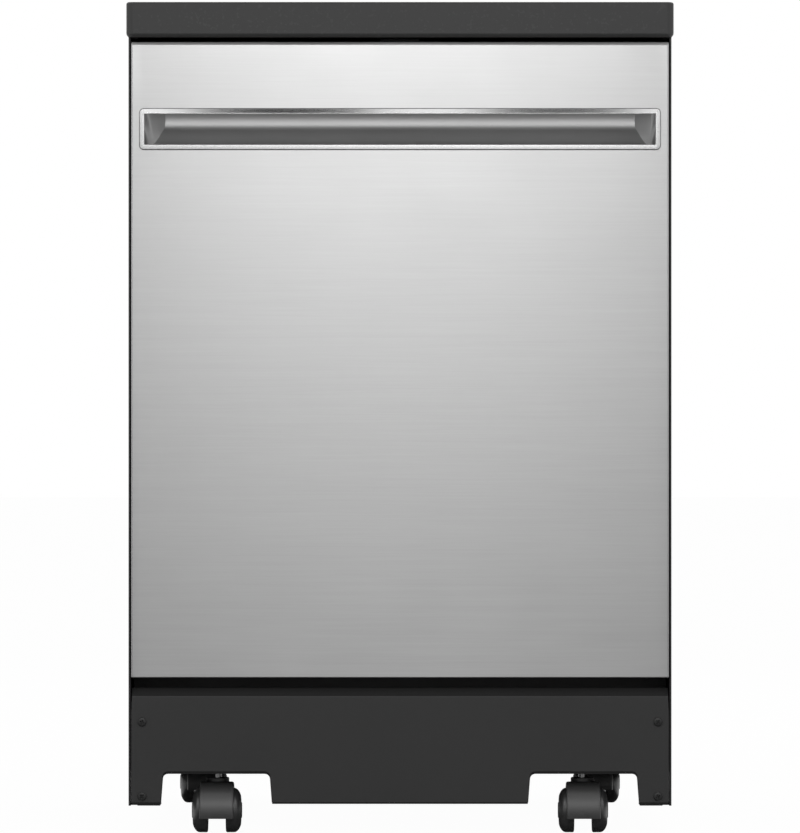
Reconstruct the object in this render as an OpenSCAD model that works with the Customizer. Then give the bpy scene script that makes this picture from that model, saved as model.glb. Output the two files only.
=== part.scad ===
// Portable dishwasher on wheels, 24 inch class, in millimetres.
// +Z is up, the front faces -Y, and the origin is on the floor under the middle of the worktop.

/* [Worktop] */
// Height from the floor to the top of the worktop
total_h = 942; // [900:1:980]
// Width of the worktop
top_w = 620; // [617:1:660]
// Depth of the worktop, front to back
top_d = 686; // [670:1:740]
// Thickness of the worktop
top_t = 40; // [25:1:50]
// Corner radius of the worktop seen from above
top_corner_r = 8; // [2:0.5:20]
// Radius of the worktop's upper edge
top_edge_r = 2.5; // [0.5:0.5:6]
// Radius of the worktop's lower edge
top_under_r = 5; // [0.5:0.5:8]

/* [Cabinet] */
// Width over the two side panels
cabinet_w = 615; // [600:1:630]
// Distance of the door's face behind the worktop's front edge
door_setback = 5; // [4:0.5:20]
// Distance of the rear panel in front of the worktop's back edge
rear_setback = 10; // [2:1:20]
// Thickness of the painted sheet
sheet_t = 1.2; // [0.8:0.1:2]
// Width of the folded hem along the side panel's front edge
hem_w = 2.4; // [2:0.1:2.8]
// Width of the side panel's folded flanges
flange_w = 10; // [8:1:11]
// Height of the cabinet's lower edge above the floor
skirt_z = 32; // [25:1:45]
// Height of the base deck's underside above the floor
deck_z = 70; // [66:1:72]
// Thickness of the base deck
deck_t = 1.5; // [1:0.1:3]

/* [Kick plate] */
// Width of the kick plate
kick_w = 608; // [590:1:610]
// Height of the kick plate's lower edge above the floor
kick_z = 34; // [32:1:45]
// Height of the fold line where the sloped lip starts
kick_fold_z = 155.8; // [140:0.2:160]
// Height of the sloped lip
lip_h = 9.5; // [5:0.5:10]
// Depth of the sloped lip
lip_d = 8; // [5:0.5:9]
// Thickness of the kick plate
kick_t = 1.5; // [1:0.1:2.5]
// Distance of the kick plate behind the door's face
kick_setback = 1; // [0:0.5:2]
// Width of a caster notch at its foot
notch_w = 126; // [120:1:130]
// Width that a notch loses towards its head
notch_taper = 4; // [0:0.5:8]
// Corner radius of a notch
notch_r = 6; // [3:0.5:12]
// Distance of a screw from the middle plane
screw_x = 292.2; // [285:0.2:296]
// Height of the lower screws
screw_low_z = 42.5; // [40:0.5:60]
// Height of the upper screws
screw_high_z = 126.8; // [100:0.2:140]
// Diameter of a screw head
screw_head_d = 10; // [8:0.5:12]
// Diameter of a screw shank
screw_d = 4; // [3:0.5:5]

/* [Door] */
// Width of the door's steel skin
door_w = 609; // [590:1:610]
// Height of the door's lower edge above the floor
door_z = 177; // [175:1:185]
// Gap between the door and the worktop
door_gap = 5; // [4:0.5:8]
// Thickness of the door from skin to liner
door_t = 60; // [56:1:64]
// Thickness of the steel skin
skin_t = 0.9; // [0.6:0.1:1.5]
// Bend radius at the skin's front edges
skin_bend_r = 4; // [2:0.5:6]
// Depth of the skin's side returns
skin_return = 50; // [30:1:52]
// Distance of the hinge pin behind the door's face
pivot_back = 40; // [38:1:42]
// Height of the hinge pin above the door's lower edge
pivot_up = 35; // [34:1:38]
// Height of the liner's lower edge below the hinge pin
liner_drop = 7; // [4:1:8]
// Thickness of the liner
liner_t = 1.2; // [0.8:0.1:2]
// Depth of the liner's folded rim
liner_rim = 20; // [12:1:22]
// Radius of a hinge pin
pin_r = 4; // [3:0.5:5]
// Thickness of a hinge arm or hinge bracket
hinge_t = 3; // [2:0.5:3]

/* [Handle] */
// Width of the bezel
bezel_w = 590; // [500:1:595]
// Height of the bezel
bezel_h = 46.5; // [40:0.5:60]
// Distance from the door's top edge down to the bezel's lower edge
bezel_down = 122; // [70:1:200]
// Width of the bezel's bars
bezel_bar = 5.7; // [4:0.1:8]
// Outer corner radius of the bezel
bezel_r = 5; // [2:0.5:10]
// Height of the bezel above the skin
bezel_proud = 1.6; // [1:0.1:3]
// Height of the grip bar above the skin
grip_proud = 3.6; // [2:0.1:4]
// Depth of the pocket behind the door's face
pocket_d = 28; // [26:1:36]
// Wall thickness of the pocket
pocket_wall = 1.5; // [1:0.1:2.5]
// Height of the finger room above the grip bar's lower edge
finger_up = 14; // [8:1:20]
// How far each end wall of the pocket leans in
end_lean = 26; // [5:1:40]

/* [Tub] */
// Outer width of the tub
tub_w = 564; // [540:1:570]
// Height of the tub's underside above the floor
tub_z = 196; // [192:1:205]
// Distance from the worktop's underside down to the tub's roof
tub_roof_gap = 22; // [18:1:30]
// Outer depth of the tub
tub_d = 516; // [500:1:530]
// Wall thickness of the tub
tub_t = 1.2; // [0.8:0.1:2]
// Corner radius of the tub
tub_r = 30; // [15:1:45]
// Width of the tub's front flange outside its wall
tub_flange = 17; // [14:1:18]
// Thickness of the door gasket between the liner and the tub
gasket_t = 7.7; // [6:0.1:9]
// Width of the gasket
gasket_w = 10; // [8:1:12]

/* [Base] */
// Distance of the front caster stems from the middle plane
front_caster_x = 208; // [200:1:215]
// Distance of the front caster stems behind the door's face
front_caster_back = 50; // [48:1:60]
// Distance of the rear caster stems from the middle plane
rear_caster_x = 240.5; // [220:0.5:245]
// Distance of the rear caster stems in front of the rear panel
rear_caster_in = 60; // [56:1:80]

/* [Casters] */
// Diameter of a caster wheel
wheel_d = 50.8; // [48:0.2:52]
// Width over the two wheels of a caster
caster_w = 57; // [54:0.5:60]
// Gap between the two wheels of a caster
wheel_gap = 20.6; // [18:0.1:24]
// Distance of the wheel axle from the swivel axis
trail = 20; // [16:1:22]
// Width of the hood
hood_w = 38.6; // [30:0.2:42]
// Outer radius of the hood about the axle
hood_r = 32.4; // [31:0.2:33]
// Thickness of the hood's fender
fender_t = 4.4; // [3:0.1:4.8]
// Diameter of the neck flange round the stem
neck_d = 26.7; // [20:0.1:30]
// Height of the neck flange
neck_t = 3.9; // [2:0.1:5]
// Diameter of the stem
stem_d = 9.5; // [8:0.1:11]
// Length of the stem inside its socket
stem_grip = 36; // [25:1:40]
// Outer diameter of a stem socket
socket_d = 18; // [15:0.5:24]
// Diameter of the axle
axle_d = 6; // [5:0.5:8]

/* [Racks] */
// Width of the lower rack
lower_rack_w = 520; // [480:1:524]
// Depth of the racks
rack_d = 440; // [400:1:450]
// Height of the lower rack's floor above the tub's floor
lower_rack_up = 44; // [44:1:60]
// Height of the lower rack's walls
lower_rack_h = 95; // [60:1:120]
// Width of the upper rack without its runners
upper_rack_w = 510; // [480:1:514]
// Height of the upper rack's floor above the tub's floor
upper_rack_up = 350; // [330:1:380]
// Height of the upper rack's walls
upper_rack_h = 105; // [80:1:120]
// Width of a rack wire
wire = 4; // [3:0.5:5]
// Diameter of the lower rack's wheels
rack_wheel_d = 34; // [28:1:36]
// Free travel of a rack behind the closed door
rack_play = 10; // [2:1:12]

/* [Spray arms] */
// Length of the lower spray arm
lower_arm_l = 470; // [400:1:480]
// Length of the middle spray arm
middle_arm_l = 420; // [300:1:440]
// Length of the upper spray arm
upper_arm_l = 340; // [200:1:380]
// Width of a spray arm
arm_w = 40; // [30:1:50]
// Thickness of a spray arm
arm_t = 10; // [8:1:12]

/* [Controls] */
// Width of a button
button_w = 16; // [10:1:20]
// Depth of a button, front to back
button_d = 9; // [6:1:12]
// Travel of a button
button_travel = 1.2; // [0.8:0.1:2]
// Distance between buttons
button_pitch = 34; // [24:1:40]
// Travel of the latch bolt
bolt_travel = 3; // [2:0.5:4]

/* [Dispenser] */
// Width of the dispenser
cup_w = 190; // [180:1:200]
// Height of the dispenser
cup_h = 96; // [80:1:110]
// Depth of the dispenser inside the door
cup_d = 22; // [16:1:26]
// Width of the detergent well
well_w = 58; // [40:1:60]
// Height of the detergent well
well_h = 60; // [40:1:70]
// Travel of the sliding lid
lid_travel = 62; // [45:1:64]
// Diameter of the rinse aid cap
cap_d = 32; // [24:1:34]

/* [Rear bay] */
// Width of the hose bay
bay_w = 300; // [240:1:340]
// Height of the hose bay
bay_h = 200; // [150:1:240]
// Depth of the hose bay
bay_d = 72; // [50:1:76]
// Height of the hose bay's lower edge above the floor
bay_z = 560; // [400:1:600]
// Wall thickness of the hose bay
bay_t = 2; // [1.5:0.1:3]
// Bore of the water inlet port
inlet_bore = 13; // [10:0.5:16]
// Bore of the drain port
drain_bore = 17; // [14:0.5:20]
// Bore of the cord gland
gland_bore = 9; // [7:0.5:11]

/* [Hidden] */

fit = 0.05;              // running clearance round a pin or shaft
gap = 0.5;               // clearance between loose pieces
past = 1;                // how far a cut runs past what it cuts
arc_n = 5;               // steps in a rounded corner
half_cab = cabinet_w / 2;
top_under = total_h - top_t;
face_y = door_setback - top_d / 2;       // the door's face
back_y = top_d / 2 - rear_setback;       // outside of the rear panel
panel_y = face_y + kick_setback;         // front edge of the side panels
kick_y = face_y + kick_setback;
kick_back = kick_y + kick_t;
deck_top = deck_z + deck_t;
half_kick = kick_w / 2;

door_top = top_under - door_gap;
door_h = door_top - door_z;
half_door = door_w / 2;
liner_y = face_y + door_t;               // the liner's wet face
pivot_y = face_y + pivot_back;
pivot_z = door_z + pivot_up;
panel_h = 13;                            // height of the control panel
panel_plate = 3;                         // thickness of the control panel's top plate
panel_front = face_y + 9;
panel_top = door_top;
liner_z = pivot_z - liner_drop;
liner_top = door_top - panel_h - gap;
half_liner = half_door - skin_t - gap;
hinge_notch = 12;                        // width of the liner's notch at each hinge
hinge_out = half_liner - liner_t - gap;  // outer face of a hinge arm
bracket_out = hinge_out - hinge_t - 2;   // outer face of a hinge bracket
bulkhead_y = pivot_y + pivot_up + 8;
pin_head = 1.2;                          // rim of a hinge pin's head
button_y = face_y + 30;
button_stand = button_travel - 0.2;      // a pressed button ends just under the panel's top
bolt_y = face_y + 46;
bolt_w = 16;
bolt_d = 8;
strike_t = 2.5;

tub_y = liner_y + gasket_t + 0.3;        // front of the tub's flange
tub_back = tub_y + tub_d;
tub_top = top_under - tub_roof_gap;
tub_floor = tub_z + tub_t;
half_tub = tub_w / 2;
flange_low = tub_z - 4;
flange_high = tub_top + 12;
mid_y = tub_y + tub_d / 2;               // the spray arms' axis
gasket_low = pivot_z + 26;
gasket_in = half_tub + 2;

sump_r = 60;
sump_wall = 3;
sump_z = 118;
rim_w = 14;
pump_r = 36;
pump_z = deck_top + pump_r + 9;

post_r = 8;                              // pin of the lower spray arm
stub_r = 6;                              // pin of the other spray arms
cap_rim = 5;                             // rim of the cap that holds a spray arm on
lower_arm_z = tub_floor + 24;
rack_front = tub_y + 28;
lower_rack_z = tub_floor + lower_rack_up;
upper_rack_z = tub_floor + upper_rack_up;
middle_arm_z = upper_rack_z - 30;
feed_t = 12;
feed_w = 30;
rail_h = 22;
rail_z = upper_rack_z + 50;
rail_slot = 10;
rail_w = 14;
runner_gap = 1;
rail_in = half_tub - tub_t - rail_w;
upper_arm_z = tub_top - tub_t - 34;
wheel_seat = tub_floor + rack_wheel_d / 2 + gap;
rack_wheel_t = 8;
rack_wheel_x = half_tub - tub_r - rack_wheel_t - 3;  // on the flat of the tub's floor
rack_wheel_at = [0.12, 0.38, 0.62, 0.88]; // places along the rack's depth
tine_pitch = 40;
lower_tine_h = 62;
upper_tine_h = 48;
basket_w = 168;
basket_d = 104;
basket_h = 120;
basket_x = lower_rack_w / 2 - wire - 14 - basket_w;
basket_y = rack_front + wire + 10;
basket_wall = 2.5;
basket_cols = 3;
basket_rows = 2;
heater_r = 196;
heater_d = 8;
heater_z = tub_floor + 11;
float_x = -half_tub + 88;                // between two rack wheels and the heating element
float_y = tub_y + 42;
float_stem_r = 5;

bezel_z = door_top - bezel_down;
grip_z = bezel_z + bezel_h - bezel_bar;  // lower edge of the grip bar
mouth_z = bezel_z + bezel_bar;
mouth_h = bezel_h - 2 * bezel_bar;
half_mouth = bezel_w / 2 - bezel_bar;
grip_back = 6;                           // the grip bar's depth behind the skin

cup_up = 330;                            // dispenser above the door's lower edge
cup_z = door_z + cup_up;
lid_t = 2;
lid_over = 4;
cup_face = liner_y + 3;
well_x = -cup_w / 2 + 12;
cap_x = cup_w / 2 - cap_d / 2 - 8;
cup_wall = 2;

bay_back = back_y;
bay_mid = bay_z + bay_h / 2;
port_l = 26;
port_wall = 3.5;

wheel_r = wheel_d / 2;
hood_top = wheel_r + hood_r;
web_w = wheel_gap - 2.6;
wheel_w = (caster_w - wheel_gap) / 2;
front_y = face_y + front_caster_back;
rear_y = back_y - rear_caster_in;

// A box from its low corner to its high corner
module block(low, high) {
  translate(low) cube(high - low);
}

// The same shape on the left and on the right
module both_sides() {
  children();
  mirror([1, 0, 0]) children();
}

// An outline in Y and Z, extruded along X
module along_x(x0, x1) {
  translate([x0, 0, 0]) rotate([90, 0, 90]) linear_extrude(x1 - x0) children();
}

// An outline in X and Z, extruded along Y
module along_y(y0, y1) {
  translate([0, y1, 0]) rotate([90, 0, 0]) linear_extrude(y1 - y0) children();
}

// A round bar along Y from y0 to y1
module rod_y(x, z, r, y0, y1) {
  translate([x, y1, z]) rotate([90, 0, 0]) cylinder(h = y1 - y0, r = r, $fn = 48);
}

// A round bar along X from x0 to x1
module rod_x(y, z, r, x0, x1) {
  translate([x0, y, z]) rotate([0, 90, 0]) cylinder(h = x1 - x0, r = r, $fn = 48);
}

// A round bar along Z from z0 to z1
module rod_z(x, y, r, z0, z1) {
  translate([x, y, z0]) cylinder(h = z1 - z0, r = r, $fn = 48);
}

// Points of an arc from angle a to angle b about a centre
function arc(c, r, a, b, n) = [for (i = [0:n]) c + r * [cos(a + (b - a) * i / n), sin(a + (b - a) * i / n)]];

// Outline of a rectangle with rounded corners, from its low corner to its high corner
function soft_box(low, high, r) = concat(
  arc([high.x - r, high.y - r], r, 0, 90, arc_n),
  arc([low.x + r, high.y - r], r, 90, 180, arc_n),
  arc([low.x + r, low.y + r], r, 180, 270, arc_n),
  arc([high.x - r, low.y + r], r, 270, 360, arc_n));

// Unit normal of the edge from p to q, on its right-hand side
function edge_normal(p, q) = [q.y - p.y, p.x - q.x] / norm(q - p);

// An anticlockwise outline grown outwards by t, with mitred corners
function grown(pts, t) = [for (i = [0:len(pts) - 1])
  let (n = len(pts), a = edge_normal(pts[(i + n - 1) % n], pts[i]), b = edge_normal(pts[i], pts[(i + 1) % n]))
  pts[i] + t * (a + b) / (1 + a * b)];

// A flat grille in X and Y: a plate of thickness t with nx by ny windows
module grille(w, h, t, nx, ny) {
  cell_w = (w - wire) / nx;
  cell_h = (h - wire) / ny;
  linear_extrude(t) difference() {
    square([w, h]);
    for (i = [0:nx - 1], j = [0:ny - 1])
      translate([wire + i * cell_w, wire + j * cell_h]) square([cell_w - wire, cell_h - wire]);
  }
}

// ---------- cabinet ----------

// One layer of the worktop, drawn in by an inset
module top_layer(inset, z) {
  translate([0, 0, z]) linear_extrude(0.01)
    polygon(soft_box([inset - top_w / 2, inset - top_d / 2], [top_w / 2 - inset, top_d / 2 - inset], top_corner_r));
}

module worktop() {
  color("#424242") hull() {
    for (a = [0:22.5:90]) {
      top_layer(top_under_r * (1 - sin(a)), top_under + top_under_r * (1 - cos(a)));
      top_layer(top_edge_r * (1 - cos(a)), total_h - top_edge_r + top_edge_r * sin(a) - 0.01);
    }
  }
}

// The left side panel, with its front hem and three folded flanges
module side_panel() {
  in_x = sheet_t - half_cab;
  fold_x = flange_w - half_cab;
  back = back_y - sheet_t;
  union() {
    block([-half_cab, panel_y, skirt_z], [in_x, back, top_under]);
    block([-half_cab, panel_y, skirt_z], [hem_w - half_cab, panel_y + 12, top_under]);
    block([-half_cab, panel_y, top_under - sheet_t], [fold_x, back, top_under]);
    block([-half_cab, kick_back + 4, skirt_z], [fold_x, back, skirt_z + sheet_t]);
    block([-half_cab, back - sheet_t, skirt_z], [fold_x, back, top_under]);
  }
}

module side_panel_left() {
  color("#161616") side_panel();
}

module side_panel_right() {
  color("#161616") mirror([1, 0, 0]) side_panel();
}

module rear_panel() {
  inset = bay_t + gap;
  color("#1c1c1c") difference() {
    block([1 - half_cab, back_y - sheet_t, skirt_z + 2], [half_cab - 1, back_y, top_under - gap]);
    block([-bay_w / 2 - inset, back_y - past - sheet_t, bay_z - inset],
          [bay_w / 2 + inset, back_y + past, bay_z + bay_h + inset]);
  }
}

// A hose port or gland on the bay's floor, at x along the bay
module port(x, bore) {
  rod_y(x, bay_mid, bore / 2 + port_wall, bay_back - bay_d - bay_t / 2, bay_back - bay_d + port_l);
}

module hose_bay() {
  lip = 8;
  x = bay_w / 2;
  color("#242424") difference() {
    union() {
      block([-x - bay_t, bay_back - bay_d - bay_t, bay_z - bay_t], [x + bay_t, bay_back, bay_z + bay_h + bay_t]);
      block([-x - lip, bay_back, bay_z - lip], [x + lip, bay_back + bay_t, bay_z + bay_h + lip]);
    }
    difference() {
      block([-x, bay_back - bay_d, bay_z], [x, bay_back + bay_t + past, bay_z + bay_h]);
      port(-bay_w / 4, inlet_bore);
      port(0, drain_bore);
      port(bay_w / 4, gland_bore);
    }
    for (p = [[-bay_w / 4, inlet_bore], [0, drain_bore], [bay_w / 4, gland_bore]])
      rod_y(p.x, bay_mid, p.y / 2, bay_back - bay_d - bay_t - past, bay_back - bay_d + port_l + past);
  }
}

// Four caster stations, as places of the stems
function stations() = [
  [-front_caster_x, front_y], [front_caster_x, front_y],
  [-rear_caster_x, rear_y], [rear_caster_x, rear_y]];

// Places of the kick plate's screws in X and Z
function screw_places() = [for (s = [-1, 1], z = [screw_low_z, screw_high_z]) [s * screw_x, z]];

module base_frame() {
  side = half_cab - hem_w - gap;
  rail_up = 34;
  leg_in = screw_x - 10;
  color("#202020") difference() {
    union() {
      block([-side, kick_back + 6, deck_z], [side, back_y - 2 * sheet_t - gap, deck_top]);
      both_sides() {
        block([side - deck_t, kick_back, deck_z], [side, back_y - 2 * sheet_t - gap, deck_top + rail_up]);
        block([leg_in, kick_back, skirt_z + 6], [side, kick_back + deck_t, screw_high_z + 14]);
      }
      block([-side, bulkhead_y, deck_z], [side, bulkhead_y + deck_t, flange_low - 2]);
      for (p = stations()) rod_z(p.x, p.y, socket_d / 2, deck_z, deck_top + stem_grip);
    }
    for (p = stations()) rod_z(p.x, p.y, stem_d / 2 + fit, deck_z - past, deck_top + stem_grip + past);
    for (p = screw_places()) rod_y(p.x, p.y, screw_d / 2 + fit, kick_back - past, kick_back + deck_t + past);
  }
}

// Outline of a caster notch in X and Z about x = 0
function notch_outline() = let (foot = notch_w / 2, head = notch_w / 2 - notch_taper / 2, r = notch_r) concat(
  [[-foot, kick_z - past], [foot, kick_z - past]],
  arc([head - r, deck_z - r], r, 0, 90, arc_n),
  arc([r - head, deck_z - r], r, 90, 180, arc_n));

module kick_plate() {
  lip_in = 5;
  hem = 9;
  color("#2c2c2c") difference() {
    union() {
      block([-half_kick, kick_y, kick_z], [half_kick, kick_back, kick_fold_z]);
      block([-half_kick, kick_y, kick_z], [half_kick, kick_y + hem, kick_z + kick_t]);
      along_x(lip_in - half_kick, half_kick - lip_in) polygon([
        [kick_y, kick_fold_z], [kick_back, kick_fold_z], [kick_y + lip_d + kick_t, kick_fold_z + lip_h - kick_t],
        [kick_y + lip_d + kick_t + 4, kick_fold_z + lip_h - kick_t], [kick_y + lip_d + kick_t + 4, kick_fold_z + lip_h],
        [kick_y + lip_d, kick_fold_z + lip_h]]);
    }
    for (s = [-1, 1])
      translate([s * front_caster_x, 0, 0]) along_y(kick_y - past, kick_y + hem + past) polygon(notch_outline());
    for (p = screw_places()) rod_y(p.x, p.y, screw_d / 2 + fit, kick_y - past, kick_back + past);
  }
}

module panel_screws() {
  head_t = 2.2;
  color("#0e0e0e") for (p = screw_places()) difference() {
    union() {
      translate([p.x, kick_y - head_t, p.y]) rotate([-90, 0, 0])
        cylinder(h = head_t, r1 = screw_head_d / 2 - 1.2, r2 = screw_head_d / 2, $fn = 48);
      rod_y(p.x, p.y, screw_d / 2, kick_y, kick_back + deck_t + 3);
    }
    for (a = [0, 90])
      translate([p.x, kick_y - head_t, p.y]) rotate([0, a, 0]) cube([5, 2, 1], center = true);
  }
}

// ---------- tub and what stands on it ----------

module tub() {
  low = [-half_tub, tub_z];
  high = [half_tub, tub_top];
  color("#b9bcbe") difference() {
    union() {
      along_y(tub_y, tub_back) polygon(soft_box(low, high, tub_r));
      block([-half_tub - tub_flange, tub_y, flange_low], [half_tub + tub_flange, tub_y + tub_t, flange_high]);
    }
    along_y(tub_y - past, tub_back - tub_t) polygon(soft_box(low + [tub_t, tub_t], high - [tub_t, tub_t], tub_r - tub_t));
    rod_z(0, mid_y, sump_r + sump_wall, tub_z - past, tub_floor + past);
    for (x = heater_ends()) rod_z(x, mid_y + heater_r, heater_d / 2 + gap, tub_z - past, tub_floor + past);
    rod_z(float_x, float_y, float_stem_r + gap, tub_z - past, tub_floor + past);
  }
}

module door_gasket() {
  top_in = tub_top - 4;
  color("#3a3d40") union() {
    both_sides() block([gasket_in, liner_y + 0.3, gasket_low], [gasket_in + gasket_w, tub_y, top_in + gasket_w]);
    block([-gasket_in, liner_y + 0.3, top_in], [gasket_in, tub_y, top_in + gasket_w]);
  }
}

module sump() {
  r = sump_r + sump_wall;
  color("#303336") difference() {
    union() {
      translate([0, mid_y, 0]) rotate_extrude($fn = 64) polygon([
        [0, sump_z], [r, sump_z], [r, tub_z - sump_wall], [r + rim_w, tub_z - sump_wall],
        [r + rim_w, tub_z], [0, tub_z]]);
      rod_y(0, pump_z + 26, 15, mid_y + r - 4, mid_y + r + 22);
      rod_x(mid_y, sump_z + 22, 12, -r - 22, 4 - r);
    }
    rod_z(0, mid_y, sump_r, sump_z + sump_wall, tub_z + past);
    rod_y(0, pump_z + 26, 12, mid_y + sump_r - 6, mid_y + r + 22 + past);
    rod_x(mid_y, sump_z + 22, 9, -r - 22 - past, 6 - sump_r);
  }
}

module filter() {
  color("#8d9296") translate([0, mid_y, 0]) rotate_extrude($fn = 64) polygon([
    [0, sump_z + 24], [50, sump_z + 24], [sump_r - 2, tub_floor - 4], [sump_r - 2, tub_floor + gap],
    [sump_r + 10, tub_floor + gap], [sump_r + 10, tub_floor + 2.5], [24, tub_floor + 4], [16, tub_floor + 12],
    [16, lower_arm_z - 1], [post_r, lower_arm_z - 1], [post_r, lower_arm_z + arm_t + 3],
    [post_r + cap_rim, lower_arm_z + arm_t + 3], [post_r + cap_rim, lower_arm_z + arm_t + 6], [0, lower_arm_z + arm_t + 6]]);
}

module circulation_pump() {
  y0 = mid_y + sump_r + sump_wall + 22;
  color("#4a4d50") union() {
    rod_y(0, pump_z, pump_r + 6, y0, y0 + 26);
    rod_y(0, pump_z, pump_r, y0 + 26, y0 + 120);
    rod_y(0, pump_z, pump_r - 16, y0 + 120, y0 + 128);
    block([-30, y0 + 34, deck_top], [30, y0 + 44, pump_z]);
    block([-30, y0 + 92, deck_top], [30, y0 + 102, pump_z]);
  }
}

module drain_pump() {
  x0 = -sump_r - sump_wall - 22;
  color("#5b5e61") union() {
    rod_x(mid_y, sump_z + 22, 28, x0 - 20, x0);
    rod_x(mid_y, sump_z + 22, 22, x0 - 76, x0 - 20);
    block([x0 - 60, mid_y - 12, deck_top], [x0 - 40, mid_y + 12, sump_z + 22]);
  }
}

module inlet_valve() {
  x = -200;
  y = back_y - 60;
  color("#d9dadb") union() {
    block([x - 22, y - 22, deck_top], [x + 22, y + 22, deck_top + 46]);
    rod_z(x, y, 15, deck_top + 46, deck_top + 84);
    rod_y(x, deck_top + 24, 10, y - 44, y - 22);
  }
}

function heater_ends() = [-16, 16];

module heating_element() {
  turn = asin(16 / heater_r);
  color("#6a6158") union() {
    translate([0, mid_y, heater_z]) rotate([0, 0, 90 + turn])
      rotate_extrude(angle = 360 - 2 * turn, $fn = 96) translate([heater_r, 0]) circle(d = heater_d, $fn = 16);
    for (x = heater_ends()) {
      rod_z(x, mid_y + heater_r * cos(turn), heater_d / 2 - 0.2, tub_z - 14, heater_z);
      translate([x, mid_y + heater_r * cos(turn), heater_z]) sphere(d = heater_d + 1, $fn = 32);
    }
    for (a = [210, 330])
      rod_z(heater_r * cos(a), mid_y + heater_r * sin(a), 3, tub_floor, heater_z);
  }
}

module float_dome() {
  color("#c9cccf") translate([float_x, float_y, 0]) rotate_extrude($fn = 48) polygon(concat(
    [[0, tub_z - 22], [float_stem_r, tub_z - 22], [float_stem_r, tub_floor + gap], [18, tub_floor + gap]],
    arc([12, tub_floor + 12], 6, 0, 90, arc_n), [[0, tub_floor + 18]]));
}

module spray_tower() {
  back = tub_back - tub_t;
  roof = tub_top - tub_t;
  color("#9a9ea2") union() {
    block([-feed_w / 2, back - 14, tub_floor], [feed_w / 2, back, roof]);
    block([-feed_w / 2, mid_y - 18, roof - feed_t], [feed_w / 2, back - 14 + past, roof]);
    rod_y(0, upper_rack_z - feed_t / 2 - gap, 5, back - 24, back - 13);
    rod_z(0, mid_y, 14, upper_arm_z + arm_t + 2, roof - feed_t + past);
    rod_z(0, mid_y, stub_r, upper_arm_z - 4, upper_arm_z + arm_t + 3);
    rod_z(0, mid_y, stub_r + cap_rim, upper_arm_z - 4, upper_arm_z - 1.5);
  }
}

module rack_rails() {
  slot = rail_z + (rail_h - rail_slot) / 2;
  wall = 4;
  color("#c4c7ca") both_sides() difference() {
    block([rail_in, rack_front - 10, rail_z], [half_tub - tub_t, rack_front + rack_d, rail_z + rail_h]);
    block([rail_in - past, rack_front - 10 - past, slot],
          [half_tub - tub_t - wall, rack_front + rack_d - wall, slot + rail_slot]);
  }
}

module latch_strike() {
  color("#8f9396") block([-22, bolt_y - 6, top_under - strike_t], [22, tub_y + 20, top_under]);
}

// Outline of a hinge bracket's plate in Y and Z
function bracket_outline() = concat(
  arc([pivot_y, pivot_z], 7, 90, 270, 6), [[tub_y, pivot_z - 7], [tub_y, pivot_z + 7]]);

module hinge_brackets() {
  foot_in = 14;
  color("#77797b") both_sides() difference() {
    union() {
      along_x(bracket_out - hinge_t, bracket_out) polygon(bracket_outline());
      block([bracket_out - foot_in, tub_y - 1.5, pivot_z - 7], [bracket_out, tub_y, pivot_z + 22]);
    }
    rod_x(pivot_y, pivot_z, pin_r + fit, bracket_out - hinge_t - past, bracket_out + past);
  }
}

module hinge_pins() {
  color("#a3a5a7") both_sides() union() {
    rod_x(pivot_y, pivot_z, pin_r, bracket_out - hinge_t - 2, hinge_out);
    rod_x(pivot_y, pivot_z, pin_r + pin_head, bracket_out - hinge_t - 4, bracket_out - hinge_t - gap);
  }
}

module door_springs() {
  spring_x = half_cab - 40;
  spring_r = 8;
  spring_z = deck_top + 20;
  color("#8a8c8e") both_sides() union() {
    rod_y(spring_x, spring_z, spring_r, bulkhead_y + 46, bulkhead_y + 200);
    rod_y(spring_x, spring_z, 1.5, bulkhead_y + deck_t, bulkhead_y + 260);
    rod_z(spring_x, bulkhead_y + 256, 4, deck_top, spring_z + 6);
  }
}

// ---------- spray arms and racks ----------

// A spray arm about the arm axis: length, height of its underside, pin radius, nozzles up or down
module spray_arm(l, z, pin) {
  end_w = arm_w * 0.6;
  half = l / 2;
  nozzle_r = 2;
  translate([0, mid_y, 0]) difference() {
    union() {
      translate([0, 0, z]) linear_extrude(arm_t) polygon(concat(
        arc([half - end_w / 2, 0], end_w / 2, -90, 90, 6), [[20, arm_w / 2], [-20, arm_w / 2]],
        arc([end_w / 2 - half, 0], end_w / 2, 90, 270, 6), [[-20, -arm_w / 2], [20, -arm_w / 2]]));
      rod_z(0, 0, pin + 8, z - 0.5, z + arm_t + 1.5);
    }
    rod_z(0, 0, pin + fit, z - past, z + arm_t + 1.5 + past);
    for (s = [-1, 1], i = [1:5])
      rod_z(s * (20 + i * (half - 36) / 5), s * 4, nozzle_r, z + arm_t - 3, z + arm_t + past);
  }
}

module lower_spray_arm() {
  color("#7f8488") spray_arm(lower_arm_l, lower_arm_z, post_r);
}

module middle_spray_arm() {
  color("#7f8488") spray_arm(middle_arm_l, middle_arm_z, stub_r);
}

module upper_spray_arm() {
  color("#7f8488") spray_arm(upper_arm_l, upper_arm_z, stub_r);
}

// An open wire basket: floor, four walls, from its low front left corner
module wire_basket(w, d, z, h) {
  color("#8e959b") translate([-w / 2, rack_front, z]) {
    grille(w, d, wire, 12, 10);
    translate([0, wire, 0]) rotate([90, 0, 0]) grille(w, h, wire, 12, 3);
    translate([0, d, 0]) rotate([90, 0, 0]) grille(w, h, wire, 12, 3);
    for (x = [0, w - wire])
      translate([x, 0, 0]) rotate([90, 0, 90]) grille(d, h, wire, 10, 3);
  }
}

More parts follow.
